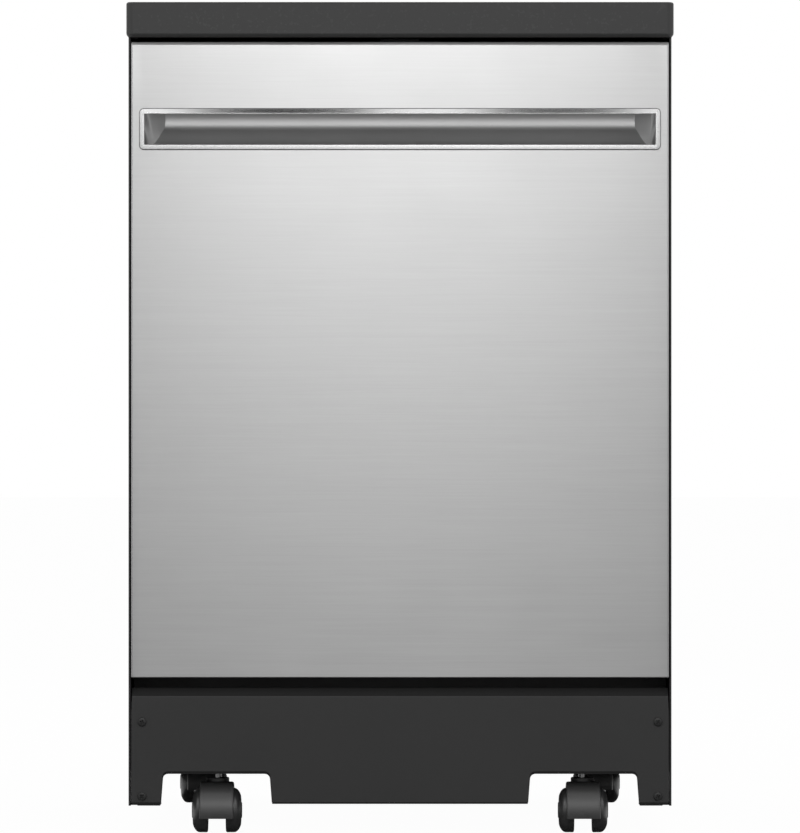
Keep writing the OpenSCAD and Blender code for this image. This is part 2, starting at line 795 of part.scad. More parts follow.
// A row of tines on a cross bar of a rack: place along its depth, z of the floor, height, width of the rack
module tine_row(y, z, h, w) {
  bar_z = z + wire + fit;
  block([wire + fit - w / 2, y, bar_z], [w / 2 - wire - fit, y + wire, bar_z + wire]);
  for (x = [60 - w / 2:tine_pitch:w / 2 - 60])
    block([x, y, bar_z + wire / 2], [x + wire, y + wire, z + h]);
}

module lower_rack() {
  z = lower_rack_z;
  w = lower_rack_w;
  color("#8e959b") union() {
    wire_basket(w, rack_d, z, lower_rack_h);
    for (f = [0.42, 0.56, 0.7, 0.84]) tine_row(rack_front + f * rack_d, z, lower_tine_h, w);
  }
}

// The eight wheels of the lower rack, each with its bracket and axle
module rack_wheels() {
  z = wheel_seat;
  low_x = rack_wheel_x - 12;
  end_x = rack_wheel_x + rack_wheel_t;
  top = lower_rack_z - fit;
  color("#6f757a") for (f = rack_wheel_at) both_sides() {
    y = rack_front + f * rack_d;
    difference() {
      rod_x(y, z, rack_wheel_d / 2, rack_wheel_x, end_x);
      rod_x(y, z, 3 + fit, rack_wheel_x - past, end_x + past);
    }
    union() {
      block([low_x, y - 5, z - 5], [low_x + 6, y + 5, top]);
      block([low_x, y - 5, top - wire], [lower_rack_w / 2, y + 5, top]);
      rod_x(y, z, 3, low_x + 4, end_x + 1.5);
      rod_x(y, z, 5, end_x + 0.8, end_x + 2.4);
    }
  }
}

module upper_rack() {
  z = upper_rack_z;
  w = upper_rack_w;
  slot = rail_z + (rail_h - rail_slot) / 2;
  tube_low = z - feed_t;
  color("#8e959b") union() {
    wire_basket(w, rack_d, z, upper_rack_h);
    for (f = [0.3, 0.5, 0.7]) tine_row(rack_front + f * rack_d, z, upper_tine_h, w);
    both_sides() block([w / 2 - wire, rack_front + 20, slot + runner_gap],
                       [half_tub - tub_t - 4 - runner_gap, rack_front + rack_d - 20, slot + rail_slot - runner_gap]);
    block([-14, mid_y - 16, tube_low], [14, tub_back - tub_t - 26 - rack_play, z - fit]);
    rod_z(0, mid_y, 12, middle_arm_z + arm_t + 2, tube_low + past);
    rod_z(0, mid_y, stub_r, middle_arm_z - 4, middle_arm_z + arm_t + 3);
    rod_z(0, mid_y, stub_r + cap_rim, middle_arm_z - 4, middle_arm_z - 1.5);
  }
}

module cutlery_basket() {
  z0 = lower_rack_z + wire;
  cell_w = (basket_w - basket_wall) / basket_cols;
  cell_d = (basket_d - basket_wall) / basket_rows;
  color("#767c82") translate([basket_x, basket_y, z0]) difference() {
    union() {
      cube([basket_w, basket_d, basket_h]);
      block([basket_w / 2 - 35, basket_d / 2 - 4, basket_h - past], [basket_w / 2 + 35, basket_d / 2 + 4, basket_h + 60]);
    }
    for (i = [0:basket_cols - 1], j = [0:basket_rows - 1])
      translate([basket_wall + i * cell_w, basket_wall + j * cell_d, basket_wall])
        cube([cell_w - basket_wall, cell_d - basket_wall, basket_h]);
    block([basket_w / 2 - 27, basket_d / 2 - 5, basket_h + 18], [basket_w / 2 + 27, basket_d / 2 + 5, basket_h + 50]);
  }
}

// ---------- door ----------

// Side outline of the door's skin in Y and Z, with its lower rear corner cut away
function door_side() = concat(
  [[face_y + skin_return, door_z + pivot_up - 10], [face_y + skin_return, door_top]],
  arc([face_y + skin_bend_r, door_top - skin_bend_r], skin_bend_r, 90, 180, arc_n),
  arc([face_y + skin_bend_r, door_z + skin_bend_r], skin_bend_r, 180, 270, arc_n),
  [[face_y + 14, door_z]]);

// Plan outline of the door's skin in X and Y
function door_plan() = concat(
  [[half_door, face_y + skin_return], [-half_door, face_y + skin_return]],
  arc([skin_bend_r - half_door, face_y + skin_bend_r], skin_bend_r, 180, 270, arc_n),
  arc([half_door - skin_bend_r, face_y + skin_bend_r], skin_bend_r, 270, 360, arc_n));

// Plan and side outlines of the hollow behind the skin
function hollow_plan() = concat(
  [[half_door - skin_t, face_y + door_t], [skin_t - half_door, face_y + door_t]],
  arc([skin_bend_r - half_door, face_y + skin_bend_r], skin_bend_r - skin_t, 180, 270, arc_n),
  arc([half_door - skin_bend_r, face_y + skin_bend_r], skin_bend_r - skin_t, 270, 360, arc_n));

function hollow_side() = concat(
  [[face_y + door_t, door_z + skin_t], [face_y + door_t, door_top + past],
   [panel_front, door_top + past], [panel_front, door_top - skin_t]],
  arc([face_y + skin_bend_r, door_top - skin_bend_r], skin_bend_r - skin_t, 90, 180, arc_n),
  arc([face_y + skin_bend_r, door_z + skin_bend_r], skin_bend_r - skin_t, 180, 270, arc_n));

module door_skin() {
  cut = bezel_bar - 2;
  color("#d6d6d6") difference() {
    intersection() {
      translate([0, 0, door_z - past]) linear_extrude(door_h + 2 * past) polygon(door_plan());
      along_x(-half_door - past, half_door + past) polygon(door_side());
    }
    intersection() {
      translate([0, 0, door_z - past]) linear_extrude(door_h + 3 * past) polygon(hollow_plan());
      along_x(-half_door - past, half_door + past) polygon(hollow_side());
    }
    block([cut - bezel_w / 2, face_y - past, bezel_z + cut], [bezel_w / 2 - cut, face_y + 3, bezel_z + bezel_h - cut]);
  }
}

module handle_bezel() {
  low = [-bezel_w / 2, bezel_z];
  high = [bezel_w / 2, bezel_z + bezel_h];
  grip_mid = face_y - grip_proud + 1.5;
  color("#e2e2e2") union() {
    along_y(face_y - bezel_proud, face_y) difference() {
      polygon(soft_box(low, high, bezel_r));
      polygon([[-half_mouth, mouth_z], [half_mouth, mouth_z], [half_mouth, grip_z], [-half_mouth, grip_z]]);
    }
    along_x(bezel_r - bezel_w / 2, bezel_w / 2 - bezel_r) polygon(concat(
      [[face_y, high.y - 0.4]], arc([grip_mid, high.y - 0.4 - 1.5], 1.5, 90, 180, arc_n),
      arc([grip_mid, grip_z + 1.5], 1.5, 180, 270, arc_n), [[face_y, grip_z]]));
    block([-half_mouth, face_y - past, grip_z], [half_mouth, face_y + grip_back, grip_z + 1.6]);
  }
}

// The pocket's hollow as depth behind the door's face and height above the mouth's lower edge
function pocket_hollow() = [
  [-past, 0], [pocket_d * 0.4, 0], [pocket_d * 0.5, 2.4], [pocket_d * 0.73, 10], [pocket_d * 0.87, 17],
  [pocket_d, 19.8], [pocket_d - 2, mouth_h - 3.3], [pocket_d - 4, mouth_h + finger_up],
  [grip_back + pocket_wall, mouth_h + finger_up], [grip_back + pocket_wall, mouth_h + 1.6], [-past, mouth_h + 1.6]];

// Plan of the pocket's hollow with its slanted ends, grown by a wall
function pocket_plan(wall) = let (lean = end_lean / pocket_d, deep = pocket_d + 2) [
  [-half_mouth - wall - lean, face_y - past], [half_mouth + wall + lean, face_y - past],
  [half_mouth + wall - lean * deep, face_y + deep], [lean * deep - half_mouth - wall, face_y + deep]];

module pocket_body(wall) {
  outline = [for (p = grown(pocket_hollow(), wall)) [face_y + p.x, mouth_z + p.y]];
  intersection() {
    along_x(-bezel_w / 2, bezel_w / 2) polygon(outline);
    translate([0, 0, mouth_z - 10]) linear_extrude(mouth_h + finger_up + 20) polygon(pocket_plan(wall));
  }
}

module handle_pocket() {
  color("#9b9b9b") difference() {
    pocket_body(pocket_wall);
    pocket_body(0);
    block([-bezel_w, face_y - 5, bezel_z - 10], [bezel_w, face_y + skin_t + 0.1, bezel_z + bezel_h + 10]);
    block([-bezel_w, face_y, grip_z - 0.1], [bezel_w, face_y + grip_back + 0.1, grip_z + 1.7]);
  }
}

module door_liner() {
  x = half_liner;
  rim_y = liner_y - liner_rim;
  cup_low = [-cup_w / 2 + 4, cup_z + 4];
  cup_high = [cup_w / 2 - 4, cup_z + cup_h - 4];
  color("#c2c5c7") difference() {
    block([-x, rim_y, liner_z], [x, liner_y, liner_top]);
    block([liner_t - x, rim_y - past, liner_z + liner_t], [x - liner_t, liner_y - liner_t, liner_top - liner_t]);
    both_sides() block([x - hinge_notch, rim_y - past, liner_z - past], [x + past, liner_y + past, pivot_z + 24]);
    block([cup_low.x, liner_y - 2 * liner_t, cup_low.y], [cup_high.x, liner_y + past, cup_high.y]);
  }
}

// Places of the three buttons along the control panel
function button_x(i) = 120 + i * button_pitch;

module control_panel() {
  x = half_liner;
  y0 = panel_front + gap;
  y1 = liner_y - 2;
  z0 = panel_top - panel_h;
  color("#1d1d1f") difference() {
    block([-x, y0, z0], [x, y1, panel_top]);
    block([2 - x, y0 + 2, z0 - past], [x - 2, y1 - 2, panel_top - panel_plate]);
    for (i = [0:2])
      block([button_x(i) - gap, button_y - gap, z0], [button_x(i) + button_w + gap, button_y + button_d + gap, panel_top + past]);
    block([-bolt_w / 2 - gap, bolt_y - gap, z0], [bolt_w / 2 + gap, bolt_y + bolt_d + gap, panel_top + past]);
    block([60, button_y + 1, z0], [96, button_y + 7, panel_top + past]);
  }
}

module button(i) {
  block([button_x(i), button_y, panel_top - 7], [button_x(i) + button_w, button_y + button_d, panel_top + button_stand]);
}

module cycle_button() {
  color("#3c3c3f") button(0);
}

module dry_button() {
  color("#3c3c3f") button(1);
}

module start_button() {
  color("#3c3c3f") button(2);
}

module indicator_lens() {
  color("#7fb4c8") block([60, button_y + 1, panel_top - panel_plate], [96, button_y + 7, panel_top + 0.2]);
}

// Outline of a hinge arm in Y and Z
function arm_outline() = concat(
  [[pivot_y + 9, pivot_z + 110], [pivot_y - 14, pivot_z + 110]], arc([pivot_y, pivot_z], 9, 180, 360, 8));

module hinge_arms() {
  color("#77797b") both_sides() difference() {
    along_x(hinge_out - hinge_t, hinge_out) polygon(arm_outline());
    rod_x(pivot_y, pivot_z, pin_r + fit, hinge_out - hinge_t - past, hinge_out + past);
  }
}

// The hooked bar that guides the lid along its way, above (1) or below (-1) it
module lid_guide(s) {
  edge = well_h / 2 + lid_over + 0.4;
  y = cup_face + lid_t + 0.6;
  x0 = well_x - lid_over;
  x1 = well_x + well_w + lid_over + lid_travel;
  translate([0, 0, cup_z + cup_h / 2]) mirror([0, 0, s < 0 ? 1 : 0]) {
    block([x0, cup_face, edge], [x1, y + 1.2, edge + 2]);
    block([x0, y, edge - 1.6], [x1, y + 1.2, edge + 2]);
  }
}

module detergent_cup() {
  x = cup_w / 2;
  well_z = cup_z + (cup_h - well_h) / 2;
  color("#6d7276") difference() {
    union() {
      block([-x, liner_y, cup_z], [x, cup_face, cup_z + cup_h]);
      block([4 + gap - x, liner_y - cup_d, cup_z + 4 + gap], [x - 4 - gap, liner_y, cup_z + cup_h - 4 - gap]);
      for (s = [-1, 1]) lid_guide(s);
    }
    block([well_x, liner_y - cup_d + cup_wall, well_z], [well_x + well_w, cup_face + past, well_z + well_h]);
    rod_y(cap_x, cup_z + cup_h / 2, 7 + fit, liner_y - 10, cup_face + past);
  }
}

module dispenser_lid() {
  well_z = cup_z + (cup_h - well_h) / 2;
  low = [well_x - lid_over, cup_face + 0.3, well_z - lid_over];
  color("#83898d") union() {
    block(low, [well_x + well_w + lid_over, cup_face + 0.3 + lid_t, well_z + well_h + lid_over]);
    block([well_x + 6, cup_face + lid_t, well_z + 8], [well_x + 12, cup_face + lid_t + 4, well_z + well_h - 8]);
  }
}

module rinse_cap() {
  z = cup_z + cup_h / 2;
  color("#5b6064") union() {
    rod_y(cap_x, z, cap_d / 2, cup_face + 0.3, cup_face + 3.5);
    block([cap_x - cap_d / 2 + 3, cup_face + 3, z - 2.5], [cap_x + cap_d / 2 - 3, cup_face + 7, z + 2.5]);
    rod_y(cap_x, z, 7, liner_y - 8, cup_face + 1);
  }
}

module latch_bolt() {
  color("#8f9396") block([-bolt_w / 2, bolt_y, panel_top - panel_h + bolt_travel + 1], [bolt_w / 2, bolt_y + bolt_d, top_under - strike_t - gap]);
}

// ---------- casters ----------

// Outline of the hood's fender in Y and Z about the axle
function fender(r_in, r_out, from, to) = concat(arc([0, 0], r_out, from, to, 14), arc([0, 0], r_in, to, from, 14));

// The hood of the caster whose stem stands at p
module caster_hood(p) {
  front = 194.7;
  rear = 20;
  inner = hood_r - fender_t;
  neck_low = wheel_r + 12;
  color("#1f1f1f") translate([p.x, p.y - trail, wheel_r]) difference() {
    union() {
      along_x(-hood_w / 2, hood_w / 2) polygon(fender(inner, hood_r, rear, front));
      along_x(-web_w / 2, web_w / 2) polygon(concat(arc([0, 0], hood_r - 1, rear, front - 6, 14), arc([0, 0], 8, 190, 370, 8)));
      rod_z(0, trail, web_w / 2, neck_low - wheel_r, hood_top - wheel_r);
      rod_z(0, trail, neck_d / 2, hood_top - wheel_r - 6, hood_top - wheel_r + neck_t);
    }
    rod_z(0, trail, stem_d / 2 + fit, -wheel_r, hood_top);
    rod_x(0, 0, axle_d / 2 + fit, -hood_w, hood_w);
  }
}

// The stem and the axle of the caster whose stem stands at p
module caster_pins(p) {
  axle_half = caster_w / 2 - 4;
  color("#9a9c9e") union() {
    rod_z(p.x, p.y, stem_d / 2, wheel_r + 14, deck_top + stem_grip);
    rod_x(p.y - trail, wheel_r, axle_d / 2, p.x - axle_half, p.x + axle_half);
  }
}

// One wheel of the caster whose stem stands at p, on its left or right side
module caster_wheel(p, side) {
  in_x = wheel_gap / 2;
  crown = 6;
  hub = 1.2;
  outline = concat(
    [[in_x, axle_d / 2 + fit], [in_x + wheel_w - hub, axle_d / 2 + fit], [in_x + wheel_w, 9], [in_x + wheel_w - 0.6, wheel_r * 0.42]],
    arc([in_x + wheel_w - 9.5, wheel_r - crown - 3], crown + 3, 10, 90, 8),
    [[in_x + 1.5, wheel_r], [in_x, wheel_r - 1.5]]);
  color("#191919") translate([p.x, p.y - trail, wheel_r]) rotate([0, side * 90, 0])
    rotate_extrude($fn = 96) polygon([for (q = outline) [q.y, q.x]]);
}

worktop();
side_panel_left();
side_panel_right();
rear_panel();
hose_bay();
base_frame();
kick_plate();
panel_screws();
tub();
door_gasket();
sump();
filter();
circulation_pump();
drain_pump();
inlet_valve();
heating_element();
float_dome();
spray_tower();
rack_rails();
latch_strike();
hinge_brackets();
hinge_pins();
door_springs();
lower_spray_arm();
middle_spray_arm();
upper_spray_arm();
upper_rack();
lower_rack();
rack_wheels();
cutlery_basket();
door_skin();
handle_bezel();
handle_pocket();
door_liner();
control_panel();
cycle_button();
dry_button();
start_button();
indicator_lens();
hinge_arms();
detergent_cup();
dispenser_lid();
rinse_cap();
latch_bolt();
caster_hood(stations()[0]);  // front_left_hood
caster_pins(stations()[0]);  // front_left_pins
caster_wheel(stations()[0], -1);  // front_left_wheel_a
caster_wheel(stations()[0], 1);  // front_left_wheel_b
caster_hood(stations()[1]);  // front_right_hood
caster_pins(stations()[1]);  // front_right_pins
caster_wheel(stations()[1], -1);  // front_right_wheel_a
caster_wheel(stations()[1], 1);  // front_right_wheel_b
caster_hood(stations()[2]);  // rear_left_hood
caster_pins(stations()[2]);  // rear_left_pins
caster_wheel(stations()[2], -1);  // rear_left_wheel_a
caster_wheel(stations()[2], 1);  // rear_left_wheel_b
caster_hood(stations()[3]);  // rear_right_hood
caster_pins(stations()[3]);  // rear_right_pins
caster_wheel(stations()[3], -1);  // rear_right_wheel_a
caster_wheel(stations()[3], 1);  // rear_right_wheel_b
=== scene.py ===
import math

import bmesh
import bpy
from mathutils import Matrix, Vector


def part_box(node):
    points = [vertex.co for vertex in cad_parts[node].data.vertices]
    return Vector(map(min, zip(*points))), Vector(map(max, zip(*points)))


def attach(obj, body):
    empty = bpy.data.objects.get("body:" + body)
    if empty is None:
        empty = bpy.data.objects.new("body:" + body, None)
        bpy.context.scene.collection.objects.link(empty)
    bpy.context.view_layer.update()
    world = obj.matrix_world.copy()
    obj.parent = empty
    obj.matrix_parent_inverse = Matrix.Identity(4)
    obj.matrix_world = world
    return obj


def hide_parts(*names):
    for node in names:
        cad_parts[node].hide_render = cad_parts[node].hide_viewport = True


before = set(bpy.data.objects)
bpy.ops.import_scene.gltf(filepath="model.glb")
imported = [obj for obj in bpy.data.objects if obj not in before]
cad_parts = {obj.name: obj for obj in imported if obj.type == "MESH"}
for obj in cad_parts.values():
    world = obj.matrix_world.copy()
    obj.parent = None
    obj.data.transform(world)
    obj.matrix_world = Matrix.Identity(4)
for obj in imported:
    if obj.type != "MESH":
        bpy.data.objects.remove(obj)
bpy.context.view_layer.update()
print("frame loaded:", len(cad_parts), "CAD nodes")


# a dictionary of one piece's measures in metres, whose keys are read as names
class Sizes(dict):
    __getattr__ = dict.__getitem__


# a grey or colour read off the photograph, 0 to 255, turned into scene light
def tone(levels):
    parts = [level / 255 for level in (levels if isinstance(levels, tuple) else (levels,) * 3)]
    return tuple(p / 12.92 if p <= 0.04045 else ((p + 0.055) / 1.055) ** 2.4 for p in parts) + (1.0,)


def operator(operation, swapped=False):
    def apply(self, other):
        first, second = (other, self) if swapped else (self, other)
        return self.graph.node("ShaderNodeMath", {"operation": operation}, {0: first, 1: second})
    return apply


# an output of a shader node, which can be reckoned with like a number
class Wire:
    __add__, __radd__ = operator("ADD"), operator("ADD", True)
    __sub__, __mul__, __gt__ = operator("SUBTRACT"), operator("MULTIPLY"), operator("GREATER_THAN")

    def __init__(self, graph, socket):
        self.graph, self.socket = graph, socket

    def __getitem__(self, output):
        return Wire(self.graph, self.socket.node.outputs[output])


class Graph:
    def __init__(self, tree):
        self.tree = tree

    def feed(self, socket, value):
        if isinstance(value, Wire):
            self.tree.links.new(value.socket, socket)
        else:
            socket.default_value = value

    def node(self, kind, settings=None, sockets=None):
        made = self.tree.nodes.new(kind)
        for key, value in (settings or {}).items():
            if key == "stops":
                ramp = made.color_ramp.elements
                while len(ramp) < len(value):
                    ramp.new(1.0)
                for element, (place, colour) in zip(ramp, value):
                    element.position, element.color = place, colour
            else:
                setattr(made, key, value)
        for key, value in (sockets or {}).items():
            self.feed(made.inputs[key], value)
        return Wire(self, made.outputs[0]) if len(made.outputs) else made

    def noise(self, size, stretch=(1, 1, 1), detail=2.0):  # size is that of one speck, in metres
        place = self.node("ShaderNodeTexCoord")["Object"]
        place = self.node("ShaderNodeMapping", {}, {"Vector": place, "Scale": stretch})
        return self.node("ShaderNodeTexNoise", {}, {"Vector": place, "Scale": 1 / size, "Detail": detail})["Fac"]

    def blend(self, amount, first, second):
        return self.node("ShaderNodeMix", {"data_type": "RGBA"}, {0: amount, 6: first, 7: second})[2]


class Finish(Graph):
    def __init__(self, name, settings):
        self.material = bpy.data.materials.new(name)
        self.material.use_nodes = True
        super().__init__(self.material.node_tree)
        self.shader = self.tree.nodes["Principled BSDF"]
        self.put(settings)

    def put(self, settings):
        for socket, value in settings.items():
            self.feed(self.shader.inputs[socket], value)

    def relief(self, height, depth, strength=1.0):  # depth in metres
        bump = self.node("ShaderNodeBump", {}, {"Height": height, "Distance": depth, "Strength": strength})
        self.put({"Normal": bump})


# sheet metal with drawn streaks along X or Z
def steelFinish(name, metallic, dark, light, streak, grain, rough, roughVary, depth, anisotropic=0.0):
    made = Finish(name, {"Metallic": metallic, "Anisotropic": anisotropic, "Anisotropic Rotation": 0.25})
    fine, coarse = (made.noise(size, streak, 3.0) for size in (grain, grain * 7))
    streaks = fine * 0.65 + coarse * 0.35
    clouds = made.noise(0.11, (1, 1, 1.6), 2.0)
    shade = made.blend(streaks * 0.8 + clouds * 0.2, tone(dark), tone(light))
    made.put({"Base Color": shade, "Roughness": rough + (streaks - 0.5) * roughVary + (clouds - 0.5) * 0.05})
    made.relief(streaks, depth)
    return made.material


# moulded plastic, coated sheet and rubber: a fine skin, faint mottling, and paler or duller rubbed places
def skinFinish(name, dark, light, grain, depth, rough, metallic=0.0, specular=0.5, mottle=0.05):
    made = Finish(name, {"Metallic": metallic, "Specular IOR Level": specular})
    skin = made.noise(grain, (1, 1, 1), 3.0)
    patches = made.noise(mottle, (1, 1, 1), 4.0)
    made.put({"Base Color": made.blend(skin * 0.35 + patches * 0.65, tone(dark), tone(light))})
    made.put({"Roughness": rough + (skin - 0.5) * 0.1 + (patches - 0.5) * 0.12})
    made.relief(skin, depth)
    return made.material


# zinc-coated sheet, with the flat crystals that zinc leaves
def zincFinish(name, dark, light, crystal, rough):
    made = Finish(name, {"Metallic": 0.9})
    place = made.node("ShaderNodeTexCoord")["Object"]
    cells = made.node("ShaderNodeTexVoronoi", {}, {"Vector": place, "Scale": 1 / crystal})["Color"]
    level = made.node("ShaderNodeSeparateColor", {}, {"Color": cells})
    shade = made.blend(level * 0.7 + made.noise(0.03) * 0.3, tone(dark), tone(light))
    made.put({"Base Color": shade, "Roughness": rough + level * 0.16})
    made.relief(made.noise(0.0006), 0.00004)
    return made.material


# a dense speckled decor sheet for the worktop
def laminateFinish(name, dark, light, fleck, speck, rough, specular):
    made = Finish(name, {"Specular IOR Level": specular})
    specks, clouds = made.noise(speck, (1, 1, 1), 5.0), made.noise(0.16, (1, 1, 1), 3.0)
    flecks = made.noise(speck * 3.2, (1, 1, 1), 1.0) > 0.66
    ground = made.blend(specks * 0.6 + clouds * 0.4, tone(dark), tone(light))
    made.put({"Base Color": made.blend(flecks * 0.35, ground, tone(fleck))})
    made.put({"Roughness": rough + (specks - 0.5) * 0.12 + (clouds - 0.5) * 0.05})
    made.relief(specks, 0.00006)
    return made.material


finishes = {
    "worktop": laminateFinish("worktop laminate",
        dark=32, light=45, fleck=58, speck=0.0011, rough=0.52, specular=0.4),
    "blackSheet": skinFinish("black coated steel",
        dark=20, light=30, grain=0.0009, depth=0.00008, rough=0.46, specular=0.35, mottle=0.09),
    "kickSheet": skinFinish("kick plate coating",
        dark=31, light=39, grain=0.0008, depth=0.00006, rough=0.5, specular=0.4, mottle=0.12),
    # painted shade: a coating darker than the plate's, for the door's shadow over the lip and the shade under the
    # plate's edges
    "kickLip": skinFinish("kick plate painted shade coating",
        dark=14, light=20, grain=0.0008, depth=0.00006, rough=0.58, specular=0.26, mottle=0.12),
    "baseSheet": skinFinish("base frame coating",
        dark=38, light=50, grain=0.001, depth=0.0001, rough=0.55, mottle=0.06),
    "doorSteel": steelFinish("brushed door steel",
        metallic=1.0, dark=157, light=173, streak=(0.012, 1, 1), grain=0.0009, rough=0.345, roughVary=0.06,
        depth=0.00003, anisotropic=0.7),
    "barSteel": steelFinish("polished trim steel",
        metallic=1.0, dark=244, light=252, streak=(0.02, 1, 1), grain=0.0007, rough=0.13, roughVary=0.02,
        depth=0.000002),
    "frameSteel": steelFinish("satin frame steel",
        metallic=1.0, dark=158, light=166, streak=(0.02, 1, 1), grain=0.0008, rough=0.26, roughVary=0.02,
        depth=0.000002),
    "pocketSteel": steelFinish("satin pocket steel",
        metallic=0.9, dark=168, light=184, streak=(0.02, 1, 1), grain=0.0009, rough=0.44, roughVary=0.06,
        depth=0.00002),
    "tubSteel": steelFinish("satin tub steel",
        metallic=0.92, dark=200, light=222, streak=(1, 1, 0.03), grain=0.001, rough=0.36, roughVary=0.08,
        depth=0.00003),
    "zinc": zincFinish("zinc-coated steel",
        dark=148, light=190, crystal=0.008, rough=0.36),
    "heater": skinFinish("heater sheath",
        dark=(84, 74, 64), light=(132, 122, 108), grain=0.0012, depth=0.00005, rough=0.38, metallic=0.85,
        mottle=0.04),
    "rackCoat": skinFinish("rack nylon coating",
        dark=(150, 156, 161), light=(168, 173, 178), grain=0.0012, depth=0.00006, rough=0.36, mottle=0.03),
    "darkPlastic": skinFinish("dark moulded plastic",
        dark=38, light=50, grain=0.0006, depth=0.00006, rough=0.5),
    "greyPlastic": skinFinish("grey moulded plastic",
        dark=(122, 127, 131), light=(140, 145, 149), grain=0.0007, depth=0.00005, rough=0.45),
    "lightPlastic": skinFinish("pale moulded plastic",
        dark=(206, 209, 211), light=(222, 224, 225), grain=0.0007, depth=0.00005, rough=0.42),
    "buttonPlastic": skinFinish("button plastic",
        dark=74, light=88, grain=0.0004, depth=0.00003, rough=0.38),
    "lens": skinFinish("indicator lens",
        dark=(96, 150, 172), light=(124, 178, 198), grain=0.0008, depth=0.00002, rough=0.16),
    "rubber": skinFinish("gasket rubber",
        dark=56, light=68, grain=0.0009, depth=0.00009, rough=0.68, specular=0.3),
    "casterPlastic": skinFinish("caster nylon",
        dark=46, light=56, grain=0.0006, depth=0.00005, rough=0.46, specular=0.7),
    "tread": skinFinish("caster tread",
        dark=40, light=50, grain=0.0005, depth=0.00006, rough=0.36, specular=0.62, mottle=0.012),
    "casterSteel": steelFinish("turned caster steel",
        metallic=1.0, dark=150, light=190, streak=(1, 1, 0.05), grain=0.0006, rough=0.3, roughVary=0.08,
        depth=0.00002),
    "blackScrew": skinFinish("blackened screw steel",
        dark=34, light=52, grain=0.0005, depth=0.00004, rough=0.4, metallic=0.6),
}
print("finishes mixed:", len(finishes))

nodeFinish = {
    "worktop": ["worktop"], "kickSheet": ["kick_plate"], "baseSheet": ["base_frame"], "blackScrew": ["panel_screws"],
    "blackSheet": ["side_panel_left", "side_panel_right", "rear_panel", "latch_strike"],
    "tubSteel": ["tub", "door_liner"], "rubber": ["door_gasket"], "heater": ["heating_element"],
    "rackCoat": ["upper_rack", "lower_rack"], "doorSteel": ["door_skin"], "barSteel": ["handle_bezel"],
    "pocketSteel": ["handle_pocket"], "lens": ["indicator_lens"],
    "darkPlastic": ["hose_bay", "sump", "circulation_pump", "drain_pump", "control_panel", "rinse_cap"],
    "lightPlastic": ["inlet_valve", "float_dome", "rack_rails"],
    "greyPlastic": ["filter", "spray_tower", "lower_spray_arm", "middle_spray_arm", "upper_spray_arm", "rack_wheels",
                    "cutlery_basket", "detergent_cup", "dispenser_lid"],
    "zinc": ["hinge_brackets", "hinge_pins", "door_springs", "hinge_arms", "latch_bolt"],
    "buttonPlastic": ["cycle_button", "dry_button", "start_button"],
    "casterPlastic": [], "casterSteel": [], "tread": [],
}
for corner in ("front_left", "front_right", "rear_left", "rear_right"):
    nodeFinish["casterPlastic"].append(corner + "_hood")
    nodeFinish["casterSteel"].append(corner + "_pins")
    nodeFinish["tread"] += [corner + "_wheel_a", corner + "_wheel_b"]
for finish, nodes in nodeFinish.items():
    for node in nodes:
        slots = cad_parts[node].data.materials
        slots.clear()
        slots.append(finishes[finish])
print("CAD nodes finished:", sum(len(nodes) for nodes in nodeFinish.values()))


# ways of shaping that many pieces share
def block(bm, low, high):
    made = bmesh.ops.create_cube(bm, size=1.0)["verts"]
    bmesh.ops.scale(bm, vec=[b - a for a, b in zip(low, high)], verts=made)
    bmesh.ops.translate(bm, vec=[(a + b) / 2 for a, b in zip(low, high)], verts=made)
    return made


def rounded(bm, edges, radius, segments=3):
    bmesh.ops.bevel(bm, geom=list(edges), offset=radius, offset_type="OFFSET", segments=segments, profile=0.5,
                    affect="EDGES", clamp_overlap=True, material=-1)


def softBlock(bm, low, high, radius, segments=3):
    made = block(bm, low, high)
    rounded(bm, {e for v in made for e in v.link_edges}, radius, segments)


# a soft block whose X is given for the right side, and turned over for the left
def sideBlock(bm, sign, low, high, radius, segments=3):
    ends = sorted((sign * low[0], sign * high[0]))
    softBlock(bm, (ends[0], *low[1:]), (ends[1], *high[1:]), radius, segments)


def sharpEdges(bm, degrees=50):
    return [e for e in bm.edges if len(e.link_faces) == 2 and e.calc_face_angle() > math.radians(degrees)]


def span(edge, axis):  # how far an edge runs along an axis
    start, end = (getattr(v.co, axis) for v in edge.verts)
    return abs(start - end)


def axisVector(axis):
    return Vector([float(name == axis) for name in "xyz"])


def vertsOf(geom):
    return [v for v in geom if isinstance(v, bmesh.types.BMVert)]


def edgesOf(geom):
    return [e for e in geom if isinstance(e, bmesh.types.BMEdge)]


def closedLoop(bm, verts):
    return [bm.edges.new(pair) for pair in zip(verts, verts[1:] + verts[:1])]


# cuts at places along X and Z, across every face or only those that a test picks
def cutAt(bm, places, picks=None):
    for axis, values in places:
        for value in values:
            geom = bm.verts[:] + bm.edges[:] + bm.faces[:]
            if picks:
                faces = [f for f in bm.faces if picks(f)]
                geom = faces + list({e for f in faces for e in f.edges} | {v for f in faces for v in f.verts})
            bmesh.ops.bisect_plane(bm, geom=geom, plane_co=axisVector(axis) * value, plane_no=axisVector(axis))


def inField(face, low, high):  # the field is given by two corners in X and Z
    middle = face.calc_center_median()
    return low[0] < middle.x < high[0] and low[1] < middle.z < high[1]


def openSide(bm, facing):  # takes away the faces towards the back (1) or the front (-1)
    bmesh.ops.delete(bm, geom=[f for f in bm.faces if f.normal.y * facing > 0.9], context="FACES_ONLY")


